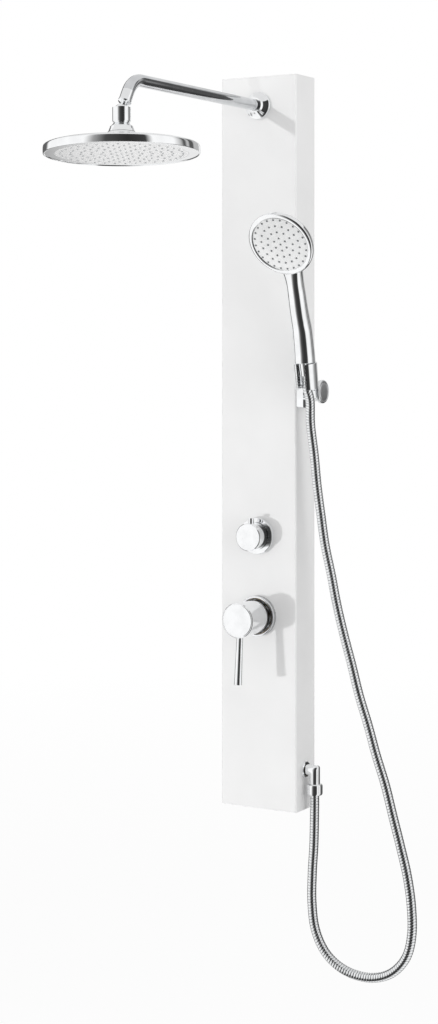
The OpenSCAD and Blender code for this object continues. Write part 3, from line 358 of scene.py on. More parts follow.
@dataclass(frozen=True)
class StoveEnamel(Finish):
    """White stove enamel sprayed on folded sheet steel.

    Sprayed and baked: an even satin gloss over a faint orange peel, with a clear skin.
    """

    patches: Clouds = Clouds(90.0)
    smudges: Clouds = Clouds(30.0)
    dulling: float = 0.05
    relief: Clouds = Clouds(1.6)
    relief_mm: float = 0.012
    relief_strength: float = 0.25

    def substance(self) -> dict[str, float]:
        """Return the sockets of hard paint under a thin clear skin."""
        return {"IOR": 1.5, "Coat Weight": 0.25, "Coat Roughness": 0.12}


@dataclass(frozen=True)
class MachinedMetal(Finish):
    """Metal that was turned, drawn or bent and left bare.

    The tool leaves fine parallel marks, and air and water darken it in patches.
    """

    patches: Clouds = Clouds(6.0, 4.0, 0.6)
    relief_mm: float = 0.02
    stain: str = "#6B5A3A"
    stains: Clouds = Clouds(18.0, 4.0, 0.65)
    stain_share: float = 0.35
    mark_mm: float = 0.6

    def tone(self, tree: Tree, place: Socket) -> Socket:
        """Return the clean metal's colour with stains over it."""
        share = spread(tree, self.stains.noise(tree, place), (0.0, self.stain_share))
        return mix(tree, share, super().tone(tree, place), linear(self.stain))

    def height(self, tree: Tree, place: Socket) -> Socket:
        """Return the tool marks that run round the piece.

        The wave texture's phase is 20 times its scaled place, so that the marks lie
        2 pi mark_mm apart.
        """
        settings = {"wave_type": "BANDS", "bands_direction": "Z"}
        inputs = {
            "Vector": place,
            "Scale": 1000 / (self.mark_mm * 20),
            "Distortion": 0.6,
            "Detail": 1.0,
        }
        return add_node(tree, "ShaderNodeTexWave", settings, inputs).outputs["Fac"]


@dataclass(frozen=True)
class ZincPlate(Finish):
    """Zinc plated on pressed steel.

    Plated in a barrel: a soft grey shine with pale flakes and a faint blue and straw
    film. The shade is the film's blue.
    """

    patches: Clouds = Clouds(25.0, 3.0)
    dulling: float = 0.12
    straw: str = "#C6C1A8"
    flake_mm: float = 5.0
    flake_share: float = 0.12

    def flakes(self, tree: Tree, place: Socket) -> Mapping[str, Socket]:
        """Return the flake cells: each one's colour, and the distance to its middle."""
        inputs = {"Vector": place, "Scale": 1000 / self.flake_mm, "Randomness": 1.0}
        return add_node(tree, "ShaderNodeTexVoronoi", inputs=inputs).outputs

    def codes(self) -> list[str]:
        """Return the film's colours: blue, the grey between, and straw."""
        return [self.shade, self.colour, self.straw]

    def tone(self, tree: Tree, place: Socket) -> Socket:
        """Return the film's colour, tinted flake by flake."""
        flake = self.flakes(tree, place)["Color"]
        return mix(tree, self.flake_share, super().tone(tree, place), flake)

    def wear(self, tree: Tree, place: Socket) -> Socket:
        """Return the distance from the flake's middle, where the gloss is best."""
        return self.flakes(tree, place)["Distance"]

    def normal(self, tree: Tree, place: Socket) -> Socket:
        """Return the eased edges alone, because the plating has no relief."""
        return self.eased_edge(tree)


@dataclass(frozen=True)
class Moulding(Finish):
    """Plastic or rubber pressed in a mould.

    Moulded: a soft, even skin with a fine grain from the tool and a little dust.
    """

    patches: Clouds = Clouds(12.0, 4.0, 0.55)
    smudges: Clouds = Clouds(5.0)
    dulling: float = 0.08
    relief: Clouds = Clouds(0.5)
    coat: float = 0.0

    def substance(self) -> dict[str, float]:
        """Return the sockets of a plain plastic with its own share of clear skin."""
        return {"IOR": 1.46, "Coat Weight": self.coat}


@dataclass(frozen=True)
class HoseStrip(Finish):
    """Chromed steel strip wound into a hose.

    Wound and locked turn by turn: each turn shines on its crown, and the groove between two turns
    is painted darker as shade.
    """

    wear_range: Pair = (0.0, 1.0)
    dulling: float = 0.3
    relief_strength: float = 0.2
    # painted shade: the colour that the strip darkens to deep in the groove
    groove: str = "#85878A"

    def wear(self, tree: Tree, place: Socket) -> Socket:
        """Return the depth below a turn's crown as a share of the groove's; it dulls the gloss and
        sets the painted shade.
        """
        settings = {"attribute_name": GROOVE_DEPTH}
        return add_node(tree, "ShaderNodeAttribute", settings).outputs["Fac"]

    def tone(self, tree: Tree, place: Socket) -> Socket:
        """Return the strip's colour, with painted shade that darkens it into the groove."""
        strip = super().tone(tree, place)
        # painted shade: the groove colour deepens with the depth below the crown
        return mix(tree, self.wear(tree, place), strip, linear(self.groove))


WHITE_ENAMEL = StoveEnamel("white_stove_enamel", "#F1F1F1", "#EDEDED", 0.32, 0.35)
CHROME = ChromePlate("bright_chrome_plate", "#FBFCFD", "#F3F4F5", 0.03, 0.25)
# a darker copy of the bright chrome for the arm: its lower tone is painted shade
SHADED_ARM_CHROME = ChromePlate("drawn_tube_chrome_painted_shade", "#E2E3E5", "#D5D7D9", 0.05, 0.2)
ROSE_CHROME = ChromePlate("soft_chrome_plate", "#F6F7F8", "#ECEDEF", 0.15, 0.25)
KNOB_CHROME = ChromePlate("satin_chrome_plate", "#F1F2F3", "#E4E6E7", 0.28, 0.25)
HOSE_CHROME = HoseStrip("wound_steel_strip", "#F4F5F6", "#E6E8E9", 0.15, 0.0)
BRASS = MachinedMetal("turned_raw_brass", "#C9A765", "#B08D4E", 0.28, 0.2)
COPPER = MachinedMetal(
    "drawn_copper_tube", "#C98A66", "#B87450", 0.26, 0.2, stain="#6A4030", mark_mm=1.4
)
STEEL = MachinedMetal(
    "turned_stainless_steel", "#B9BBBD", "#A2A5A8", 0.3, 0.2, stain="#7E8184", stain_share=0.15
)
ZINC = ZincPlate("barrel_zinc_plate", "#BCC0C3", "#AEB6BF", 0.32, 0.3)
FACE_WHITE = Moulding("white_moulded_abs", "#F1F1F1", "#EBEBEB", 0.22, 0.3, coat=0.3)
FACE_SILVER = Moulding("silver_moulded_abs", "#FAFAFA", "#F4F5F5", 0.28, 0.3, coat=0.2)
NOZZLE_GREY = Moulding("grey_silicone", "#C2C4C5", "#B2B4B6", 0.45, 0.1)
NOZZLE_DARK = Moulding("dark_silicone", "#8B8D8F", "#7B7D80", 0.45, 0.1)
SEAL_BLACK = Moulding("black_nitrile_rubber", "#1E1E1F", "#161617", 0.6, 0.2)
SEAT_GREY = Moulding("grey_acetal", "#4A4B4D", "#3F4042", 0.35, 0.2)
CARTRIDGE = Moulding("cream_cartridge_plastic", "#E4DDC8", "#D8D0B8", 0.4, 0.3)


# ---- shapes


def catmull_rom(knots: Rows, steps: int) -> Rows:
    """Run a smooth line through knots.

    Each span is the uniform Catmull-Rom cubic of its four nearest knots: half of
    2b + (c - a)t + (2a - 5b + 4c - d)t^2 + (3b - a - 3c + d)t^3. The first and the last
    knot have a neighbour mirrored through them.

    Args:
        knots: Points or values, one row each.
        steps: How many samples each span gets.

    Returns:
        The samples, the last knot included.
    """
    full = np.vstack([2 * knots[0] - knots[1], knots, 2 * knots[-1] - knots[-2]])[:, None]
    a, b, c, d = full[:-3], full[1:-2], full[2:-1], full[3:]
    t = (np.arange(steps) / steps)[None, :, None]
    line = 0.5 * (
        2 * b
        + (c - a) * t
        + (2 * a - 5 * b + 4 * c - d) * t**2
        + (3 * b - a - 3 * c + d) * t**3
    )
    return np.vstack([line.reshape(-1, knots.shape[1]), knots[-1:]])


def arc_lengths(line: Rows) -> Rows:
    """Return how far along a line each of its points is."""
    return np.concatenate([[0.0], np.cumsum(np.linalg.norm(np.diff(line, axis=0), axis=1))])


def along(line: Rows, places: Rows) -> Rows:
    """Read a line at distances along it.

    Args:
        line: The line's points, one row each.
        places: Distances from its start.

    Returns:
        One point for each distance, on the straight between its two neighbours.
    """
    travelled = arc_lengths(line)
    return np.stack([np.interp(places, travelled, line[:, i]) for i in range(3)], axis=1)


def unit(rows: Rows) -> Rows:
    """Scale each row to a length of 1."""
    return rows / np.linalg.norm(rows, axis=-1, keepdims=True)


def angles_round(count: int) -> Rows:
    """Return equally spaced angles round a circle, in radians, from 0."""
    return np.arange(count) * 2 * math.pi / count


def rotation(angle: float, axis: int) -> Rows:
    """Return the matrix that turns points about X, Y or Z, for axis 0, 1 or 2."""
    i, j = (axis + 1) % 3, (axis + 2) % 3
    turn = np.eye(3)
    turn[i, i] = turn[j, j] = math.cos(angle)
    turn[i, j], turn[j, i] = -math.sin(angle), math.sin(angle)
    return turn


def add_mesh(
    name: str, points: Rows, faces: Sequence[Rows], material: Material
) -> Piece:
    """Make a smooth mesh object in the scene, at the origin.

    Args:
        name: The object's and its mesh's name.
        points: One row for each point, in metres.
        faces: Arrays of point numbers, one row for each face.
        material: What the mesh is made of.

    Returns:
        The object.
    """
    rows = sum((part.tolist() for part in faces), [])
    mesh = bpy.data.meshes.new(name)
    mesh.from_pydata(points.tolist(), [], rows)
    mesh.polygons.foreach_set("use_smooth", np.ones(len(rows), bool))
    mesh.update()
    mesh.materials.append(material)
    return add_object(name, mesh)


def grid_piece(
    name: str,
    rings: Rows,
    material: Material,
    depth: Rows | None = None,
    closed_loop: bool = False,
    feet: Rows = np.zeros((1, 3)),
) -> Piece:
    """Make a piece from rings of points, each ring joined to the next.

    A face spans point k and k + 1 of rings i and i + 1. The faces point outwards when
    the points of a ring run anticlockwise, seen with the rings coming nearer. Both ends
    are closed with a fan round the ring's middle, unless the last ring meets the first.

    Args:
        name: The piece's name.
        rings: Points as an array of rings, points and three coordinates, in metres.
        material: What the piece is made of.
        depth: Each point's share of the groove's depth, for the hose's finish to read.
        closed_loop: Whether the last ring meets the first, as on a torus.
        feet: Where copies of the form stand. Copy n has its points at foot n + the form.

    Returns:
        The piece.
    """
    count, around = rings.shape[:2]
    index = np.arange(count * around).reshape(count, around)
    here = index if closed_loop else index[:-1]
    after = np.roll(index, -1, axis=0) if closed_loop else index[1:]
    corners = [here, np.roll(here, -1, axis=1), np.roll(after, -1, axis=1), after]
    faces = [np.stack(corners, axis=-1).reshape(-1, 4)]
    form = rings.reshape(-1, 3)
    if not closed_loop:
        first, last, hub = index[0], index[-1], np.full(around, len(form))
        foot = np.stack([hub, np.roll(first, -1), first], axis=1)
        tip = np.stack([hub + 1, last, np.roll(last, -1)], axis=1)
        faces.append(np.vstack([foot, tip]))
        form = np.vstack([form, rings[[0, -1]].mean(axis=1)])
    shift = (np.arange(len(feet)) * len(form))[:, None, None]
    faces = [(part + shift).reshape(-1, part.shape[1]) for part in faces]
    piece = add_mesh(name, (feet[:, None] + form).reshape(-1, 3), faces, material)
    if depth is not None:
        shares = np.append(depth, [0.0, 0.0]).astype(np.float32)
        kept = piece.data.attributes.new(GROOVE_DEPTH, "FLOAT", "POINT")
        kept.data.foreach_set("value", shares)
    return piece


def turned_rings(
    profile: Rows, origin: Rows, axes: Rows, around: int
) -> Rows:
    """Turn a profile round an axis.

    The point at radius r, height z and angle a is origin + r cos a on the first axis,
    + r sin a on the second, + z on the third.

    Args:
        profile: Radius and height rows, in metres.
        origin: Where radius and height are 0.
        axes: Three unit rows; the last is the axis of turning.
        around: How many points a ring has.

    Returns:
        The rings, ready for grid_piece.
    """
    angle = angles_round(around)
    circle = np.cos(angle)[:, None] * axes[0] + np.sin(angle)[:, None] * axes[1]
    radius, height = profile.T[:, :, None, None]
    return origin + radius * circle + height * axes[2]


def softened(corners: Sequence[Pair], radius: float, steps: int) -> Rows:
    """Round the inner corners of a profile.

    Each corner p becomes a quadratic curve from p - e to p + e, where e reaches up to
    radius along its two sides and at most 0.45 of each: (1 - t)^2 from + 2t(1 - t) p
    + t^2 to.

    Args:
        corners: Radius and height of each corner, in millimetres.
        radius: The most that a curve reaches along a side, in millimetres.
        steps: How many points each curve gets.

    Returns:
        The rounded profile in metres.
    """
    p = np.array(corners, float)
    corner = p[1:-1]
    start, stop = (
        corner
        + unit(side) * np.minimum(radius, 0.45 * np.linalg.norm(side, axis=1))[:, None]
        for side in (p[:-2] - corner, p[2:] - corner)
    )
    t = np.linspace(0, 1, steps)[None, :, None]
    start, corner, stop = (row[:, None] for row in (start, corner, stop))
    curve = (1 - t) ** 2 * start + 2 * t * (1 - t) * corner + t**2 * stop
    return np.vstack([p[:1], curve.reshape(-1, 2), p[-1:]]) * MM


def joined(name: str, pieces: Sequence[Piece]) -> Piece:
    """Join pieces into the first one and name it."""
    bpy.ops.object.select_all(action="DESELECT")
    for piece in pieces:
        piece.select_set(True)
    bpy.context.view_layer.objects.active = pieces[0]
    bpy.ops.object.join()
    pieces[0].name = pieces[0].data.name = name
    return pieces[0]


def rings_of_feet(middle: Rows, across: Rows, rings: int, pitch: float) -> Rows:
    """Lay feet out on a face, in rings round a middle one.

    Ring i has 6i places at radius i times the pitch, each 360/6i degrees from the next,
    and every other ring starts 30 degrees later.

    Args:
        middle: The middle foot, in metres.
        across: The face's two axes, one unit row each.
        rings: How many rings lie round the middle.
        pitch: The distance from ring to ring, in metres.

    Returns:
        The feet, the middle one first.
    """
    rows = [np.zeros((1, 2))]
    for i in range(1, rings + 1):
        angle = np.radians(np.arange(6 * i) * 60 / i + 30 * (i % 2))
        rows.append(i * pitch * np.stack([np.cos(angle), np.sin(angle)], axis=1))
    return middle + np.vstack(rows) @ across


# ---- sub-assemblies


@dataclass
class SubAssembly:
    """A part of the column: the CAD nodes that it dresses and the pieces that it adds."""

    label: str
    finishes: Mapping[Finish, str]

    def dress(self) -> int:
        """Give each of this sub-assembly's CAD nodes its finish, and count them."""
        pairs = [(node, finish) for finish, row in self.finishes.items() for node in row.split()]
        for node, finish in pairs:
            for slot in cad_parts[node].material_slots:
                slot.material = finish.material()
        return len(pairs)

    def build(self) -> list[Piece]:
        """Make the pieces that the CAD nodes don't show well enough."""
        return []

    def place(self, piece: Piece, body: Body, *nodes: str, slot: Slot = Slot.CHROME) -> Piece:
        """Fix a piece to its body, and let it stand for CAD nodes.

        Args:
            piece: The new piece.
            body: The CAD body that it moves with.
            nodes: The CAD nodes that it stands for.
            slot: The record's material slot that its finish belongs to; not used.

        Returns:
            The piece.
        """
        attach(piece, body.value)
        if nodes:
            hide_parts(*nodes)
        return piece


@dataclass
class RibbedHose(SubAssembly):
    """The metal hose from the outlet nut round its low loop up to the cone nut."""

    diameter: float = 15 * MM
    groove: float = 0.6 * MM
    turns: int = 300
    rows_per_turn: int = 8
    around: int = 20
    cup_foot: Pair = (-83.0, 90.0)
    lean: float = math.radians(10)
    start: float = 21.2
    straight: float = 20.0
    cup_x: float = 100.5
    samples: int = 40
    bend_from: Point = (0.1, -0.0605, -0.13)
    bend_to: Point = (0.1, -0.0745, 0.058)
    slack: float = 46 * MM
    slack_diameter: float = 8.8 * MM
    free_route: tuple[Point, ...] = (
        (102, -75.5, 70), (99.5, -69, 32), (103.5, -64, -18), (107.5, -62, -66),
        (114, -61, -114), (121, -60, -162), (132, -59.5, -210), (142, -59, -258),
        (154, -58, -305), (168, -58, -352), (180, -56, -399), (195, -54, -446),
        (209, -53, -493), (224, -51, -539), (236, -49, -586), (248, -47, -632),
        (259, -45, -678), (266, -44, -725), (266, -42, -773), (255, -41, -812),
        (228, -40, -841), (190, -39, -854), (147, -38, -850), (112, -37, -829),
        (91, -36, -793), (84, -35, -748), (84.5, -34.6, -700), (87.2, -34, -652),
        (88.4, -34, -594.3), (88.4, -34, -574.3),
    )

    def route(self) -> Rows:
        """Return the hose's middle line from the outlet nut up to the cone nut.

        The cup's axis leans forward, so a point s along it is s sin(lean) in front of
        its foot and s cos(lean) above it. The hose's last two knots lie on that axis.
        """
        y, z = self.cup_foot
        top = [
            (self.cup_x, y - s * math.sin(self.lean), z + s * math.cos(self.lean))
            for s in (self.start, self.start - self.straight)
        ]
        knots = np.array([*top, *self.free_route], float) * MM
        return catmull_rom(knots[::-1], self.samples)

    def wound(self, name: str, line: Rows, turns: int, diameter: float) -> Piece:
        """Wind a ribbed piece round a middle line.

        A turn's phase p runs from 0 to 1. The groove's depth is |2p - 1|^6 of its
        full depth, so that crowns are broad and grooves are narrow. A ring lies square
        to the line, on the part of the wall's direction that is square to it.

        Args:
            name: The piece's name.
            line: The middle line in metres.
            turns: How many turns the line holds.
            diameter: The diameter over the crowns, in metres.

        Returns:
            The piece, which keeps the depth's share at each point.
        """
        total = arc_lengths(line)[-1]
        count = turns * self.rows_per_turn + 1
        places = np.linspace(0, total, count)
        middle = along(line, places)
        tangent = unit(np.gradient(middle, axis=0))
        wall = np.array([0.0, 1.0, 0.0])
        first = unit(wall - (tangent @ wall)[:, None] * tangent)
        second = np.cross(tangent, first)
        phase = (np.arange(count) % self.rows_per_turn) / self.rows_per_turn
        depth = np.abs(2 * phase - 1) ** 6
        radius = diameter / 2 - self.groove * depth
        angle = angles_round(self.around)
        rings = middle[:, None] + radius[:, None, None] * (
            np.cos(angle)[None, :, None] * first[:, None]
            + np.sin(angle)[None, :, None] * second[:, None]
        )
        return grid_piece(name, rings, HOSE_CHROME.material(), np.repeat(depth, self.around))

    def hidden_end(self, line: Rows) -> Piece:
        """Wind the end that hides in the hose and rises out of it with the handset.

        Its line lies halfway between the hose's line and the cup's axis, which a point
        d below the nut leaves by d cos(lean) downward and d sin(lean) backward.
        """
        total = arc_lengths(line)[-1]
        below = np.linspace(self.slack, 0, self.samples)
        down = np.array([0, -math.sin(self.lean), math.cos(self.lean)])
        axis = line[-1] - below[:, None] * down
        end = (along(line, total - below) + axis) / 2
        turns = round(self.turns * self.slack / total)
        piece = self.wound("hose_end", end, turns, self.slack_diameter)
        return self.place(piece, Body.HANDSET, slot=Slot.HOSE)

    def build(self) -> list[Piece]:
        line = self.route()
        hose = self.wound("ribbed_hose", line, self.turns, self.diameter)
        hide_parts("shower_hose")
        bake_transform(hose)
        return [hose, self.hidden_end(line)]


@dataclass
class RainHead(SubAssembly):
    """The round head under the arm: a drawn dome, a ring, a white face and nipples."""

    tilt: Pair = (math.radians(-2.9), math.radians(-2.2))
    around: int = 144
    nipple_rings: int = 6
    nipple_pitch: float = 15 * MM

    def axes(self) -> Rows:
        """Return the head's three axes as rows; the last points up its spindle.

        The head is turned about X by the first tilt and then about Y by the second.
        """
        about_x, about_y = self.tilt
        return (rotation(about_y, 1) @ rotation(about_x, 0)).T

    def dome(self) -> Piece:
        """Turn the head's drawn shell: a shallow dome with a rolled rim."""
        corners = [
            (114.2, -64), (115.2, -63.4), (115.2, -53), (113.2, -50.9), (105, -49),
            (60, -44), (30, -38), (24, -34.6), (21, -31), (10.4, -31), (10.4, -35),
            (24, -38), (60, -46.6), (104, -51.6), (112.8, -54.4), (112.8, -64),
        ]
        profile = softened(corners, 9.0, 6)
        rings = turned_rings(profile, BALL, self.axes(), self.around)
        return grid_piece("head_dome", rings, CHROME.material(), closed_loop=True)

    def nipples(self) -> Piece:
        """Set soft nipples in rings through the face, each with a small mouth."""
        profile = [
            (1.5, 60.6), (1.5, 63.5), (1.4, 64.0), (1.1, 64.35), (0.75, 64.4), (0.5, 64.1),
            (0.5, 63.4),
        ]
        x, y, z = self.axes()
        feet = rings_of_feet(BALL, np.array([x, y]), self.nipple_rings, self.nipple_pitch)
        one = turned_rings(np.array(profile) * MM, np.zeros(3), np.array([x, -y, -z]), 8)
        return grid_piece("head_nipples", one, NOZZLE_GREY.material(), feet=feet)

    def build(self) -> list[Piece]:
        """Make the dome and the nipples."""
        return [
            self.place(self.dome(), Body.RAIN_HEAD, "head_shell"),
            self.place(self.nipples(), Body.RAIN_HEAD, "head_nozzles", slot=Slot.NOZZLE),
        ]


@dataclass
class Handset(SubAssembly):
    """The hand spray: a swept handle that flares into a round head."""

    across: float = 100.5
    face: Pair = (-172.3, 316.8)
    lean: float = math.radians(122.4)
    around: int = 64
    head_around: int = 112
    handle_line: tuple[Point, ...] = (
        (-90.26, 131.17, 17.0), (-92.46, 148.17, 16.8), (-99, 181, 16.2),
        (-105, 198.5, 15.7), (-111, 215.5, 15.2), (-120, 247, 14.5),
        (-126.5, 266, 13.8), (-134.5, 281.5, 12.4), (-141, 291, 10.0),
        (-147.9, 302.7, 6.0), (-154.9, 313.6, 3.2),
    )
    flare: float = 40.0
    foot_edge: float = 0.8
    nipple_rings: int = 4
    nipple_pitch: float = 11 * MM

    def axes(self) -> Rows:
        """Return the spray face's axes as rows; the last points out of the face."""
        return rotation(self.lean, 0).T

    def middle(self) -> Rows:
        """Return the middle of the spray face, in metres."""
        return np.array([self.across, *self.face]) * MM

    def dish(self) -> Piece:
        """Turn the spray's round back, a shallow dish."""
        corners = [
            (1, -21), (24, -20.4), (40, -18.4), (49.5, -14.6), (53.8, -9.5), (54.6, -5),
            (54.6, -2.9), (54.2, -2.5), (1, -2.5),
        ]
        profile = softened(corners, 8.0, 6)
        rings = turned_rings(profile, self.middle(), self.axes(), self.head_around)
        return grid_piece("handset_dish", rings, CHROME.material())

    def handle(self) -> Piece:
        """Sweep the handle up from the cup and flare it into the dish.

        Its middle line and radius run smoothly through the knots. A ring is an ellipse
        square to the line: its depth is the radius, and its width is the radius and,
        over the last half, the flare times the share of the way squared. The foot has a
        bevelled edge, and the end thins out under the dish's back.
        """
        line = catmull_rom(np.array(self.handle_line), 12)
        centre, radius = line[:, :2], line[:, 2]
        tangent = unit(np.gradient(centre, axis=0))
        share = np.clip(np.linspace(-1, 1, len(line)), 0, 1)
        width = radius + self.flare * share**2
        foot = np.array([radius[0] - self.foot_edge])
        bevel = centre[:1] + tangent[:1] * self.foot_edge
        centre = np.vstack([centre[:1], bevel, centre[1:]])
        tangent = np.vstack([tangent[:1], tangent])
        radius = np.concatenate([foot, radius])
        width = np.concatenate([foot, width])
        angle = angles_round(self.around)
        cos, sin = np.cos(angle)[None], np.sin(angle)[None]
        rings = np.stack(
            [
                self.across + width[:, None] * cos,
                centre[:, :1] + radius[:, None] * sin * tangent[:, 1:],
                centre[:, 1:] - radius[:, None] * sin * tangent[:, :1],
            ],
            axis=-1,
        )
        return grid_piece("handset_handle", rings * MM, CHROME.material())

    def rim(self) -> Piece:
        """Turn the rounded rim that holds the spray face."""
        corners = [
            (54.2, -3.0), (54.9, -2.4), (54.9, -0.9), (52.6, 0.8), (49.6, 1.2),
            (47.4, 0.4), (46.8, -0.3), (46.8, -1.2), (48.5, -1.4), (52, -2.8),
        ]
        profile = softened(corners, 0.9, 4)
        rings = turned_rings(profile, self.middle(), self.axes(), self.head_around)
        return grid_piece("handset_rim", rings, CHROME.material(), closed_loop=True)

    def nipples(self) -> Piece:
        """Set soft nipples in rings through the face, each with a small mouth."""
        profile = [
            (1.5, -2.4), (1.5, -0.2), (1.4, 0.25), (1.1, 0.55), (0.75, 0.6), (0.5, 0.3),
            (0.5, -0.3),
        ]
        axes = self.axes()
        one = turned_rings(np.array(profile) * MM, np.zeros(3), axes, 10)
        feet = rings_of_feet(self.middle(), axes[:2], self.nipple_rings, self.nipple_pitch)
        return grid_piece("handset_nipples", one, NOZZLE_DARK.material(), feet=feet)

    def build(self) -> list[Piece]:
        """Make the body as one piece, and the nipples."""
        body = joined("handset_shell", [self.dish(), self.handle()])
        return [
            self.place(body, Body.HANDSET, "handset_body"),
            self.place(self.rim(), Body.HANDSET, "handset_ring"),
            self.place(self.nipples(), Body.HANDSET, "handset_nozzles", slot=Slot.NOZZLE),
        ]


@dataclass
class Arm(SubAssembly):
    """The bent arm out of the panel, ending in the ball that carries the head."""

    ball_radius: float = 11.0
    lean: float = math.radians(60)

    def knuckle(self) -> Piece:
        """Turn the polished ball and its neck about the arm's end line.

        The lean is that line's angle above the level, so the third axis is turned back
        from upright by the rest of a right angle.
        """
        axes = rotation(math.pi / 2 - self.lean, 0)
        theta = np.radians(np.linspace(-88, 62, 40))
        ball = self.ball_radius * np.stack([np.cos(theta), np.sin(theta)], axis=1)
        neck = np.array([(4.6, 10.6), (4.3, 12.0), (4.3, 14.5), (3.8, 15.0), (3.8, 30.0)])
        profile = np.vstack([ball, neck]) * MM
        rings = turned_rings(profile, BALL, axes, 48)
        return grid_piece("ball_knuckle", rings, CHROME.material())

    def build(self) -> list[Piece]:
        """Make the knuckle."""
        return [self.place(self.knuckle(), Body.COLUMN, "ball_stud")]


@dataclass
class Mixer(SubAssembly):
    """The lever mixer: rosette, turning barrel handle, cap and lever."""

    middle: Point = (0.0, -64.0, -284.5)

    def rosette(self) -> Piece:
        """Turn the rosette with a closed floor round the threaded neck."""
        corners = [
            (33, 0), (33, 9.2), (32, 10), (30.2, 10), (28.2, 8), (27.6, 1.6), (21.6, 1.6),
            (21.2, 5.1), (13.9, 5.1), (13.9, 0.3),
        ]
        axes = np.array([[1, 0, 0], [0, 0, 1], [0, -1, 0]])
        rings = turned_rings(softened(corners, 0.4, 4), np.array(self.middle) * MM, axes, 96)
        return grid_piece("mixer_rose", rings, ROSE_CHROME.material(), closed_loop=True)

    def build(self) -> list[Piece]:
        """Make the rosette."""
        return [self.place(self.rosette(), Body.COLUMN, "mixer_rosette")]


@dataclass
class HoseOutlet(SubAssembly):
    """The elbow on the panel's side that the hose hangs from."""

    corner: Point = (88.4, -34.0, -534.0)
    radius: float = 8.7
    fillet: float = 4.0
    start: float = 73.0
    end: float = -557.5

    def elbow(self) -> Piece:
        """Carry each line of the tube round a mitred corner with a small fillet.

        A line at angle a stands o = radius cos(a) outside the middle line. It runs out
        level at height z + o, turns down through a quarter circle of the fillet's
        radius, and drops at x + o, so that both legs are round tubes.
        """
        cx, cy, cz = self.corner
        angle = angles_round(40)
        out, side = self.radius * np.cos(angle), self.radius * np.sin(angle)
        turn = np.linspace(0, math.pi / 2, 9)[:, None]
        arc_x = cx + out - self.fillet * (1 - np.sin(turn))
        arc_z = cz + out - self.fillet * (1 - np.cos(turn))
        level = np.full_like(out, self.start)
        x = np.vstack([level, level + 1, arc_x, cx + out, cx + out])
        z = np.vstack([cz + out, cz + out, arc_z, self.end + 1 + 0 * out, self.end + 0 * out])
        y = np.broadcast_to(cy + side, x.shape)
        rings = np.stack([x, y, z], axis=-1) * MM
        return grid_piece("outlet_bend", rings, CHROME.material())

    def build(self) -> list[Piece]:
        """Make the elbow."""
        return [self.place(self.elbow(), Body.COLUMN, "outlet_elbow")]


@dataclass
class Holder(SubAssembly):
    """The handset's holder on the panel's side: base, slotted cup, bolt and knob."""

    knob_foot: Point = (104.0, -45.0, 84.0)

    def knob(self) -> Piece:
        """Turn the clamp knob: a rounded rim round a low domed cap."""
        corners = [
            (1, 0), (17.6, 0), (19, 1.4), (19, 5.6), (17.8, 7.2), (16, 7.6), (15.2, 6.9),
            (14.4, 6.9), (13.8, 7.5), (10, 7.85), (1, 8),
        ]
        axes = np.array([[0, 1, 0], [0, 0, 1], [1, 0, 0]])
        rings = turned_rings(softened(corners, 0.8, 4), np.array(self.knob_foot) * MM, axes, 72)
        return grid_piece("clamp_knob", rings, KNOB_CHROME.material())

    def build(self) -> list[Piece]:
        """Make the knob."""
        return [self.place(self.knob(), Body.HOLDER_KNOB, "holder_knob")]


# ---- studio


WIDE_SPOT = {"spot_size": 0.46, "spot_blend": 0.6, "shadow_soft_size": 0.1}
NARROW_SPOT = {"spot_size": math.radians(12), "spot_blend": 0.5, "shadow_soft_size": 0.1}
FRONT_CARDS: tuple[Pair, ...] = (
    (-133, 0.12), (-96, 0.12), (-87, 1.0), (-18, 1.0), (-6, 0.35), (8, 0.07), (34, 0.03),
    (58, 0.05), (68, 1.0),
)


@dataclass(frozen=True)
class Lamp:
    """A lamp that no mirror shows: its kind, place, aim, watts, and sizes by field name."""

    kind: LampKind
    place: Point
    aim: Point
    power: float
    sizes: Mapping[str, float]

    def hang(self) -> None:
        """Add the lamp to the scene, facing its aim."""
        light = bpy.data.lights.new(f"{self.kind.value.lower()}_lamp", self.kind.value)
        light.energy = self.power
        for name, value in self.sizes.items():
            setattr(light, name, value)
        lamp = add_object(light.name, light)
        lamp.location = self.place
        way = Vector(self.place) - Vector(self.aim)
        lamp.rotation_euler = way.to_track_quat("Z", "Y").to_euler()
        lamp.visible_glossy = False


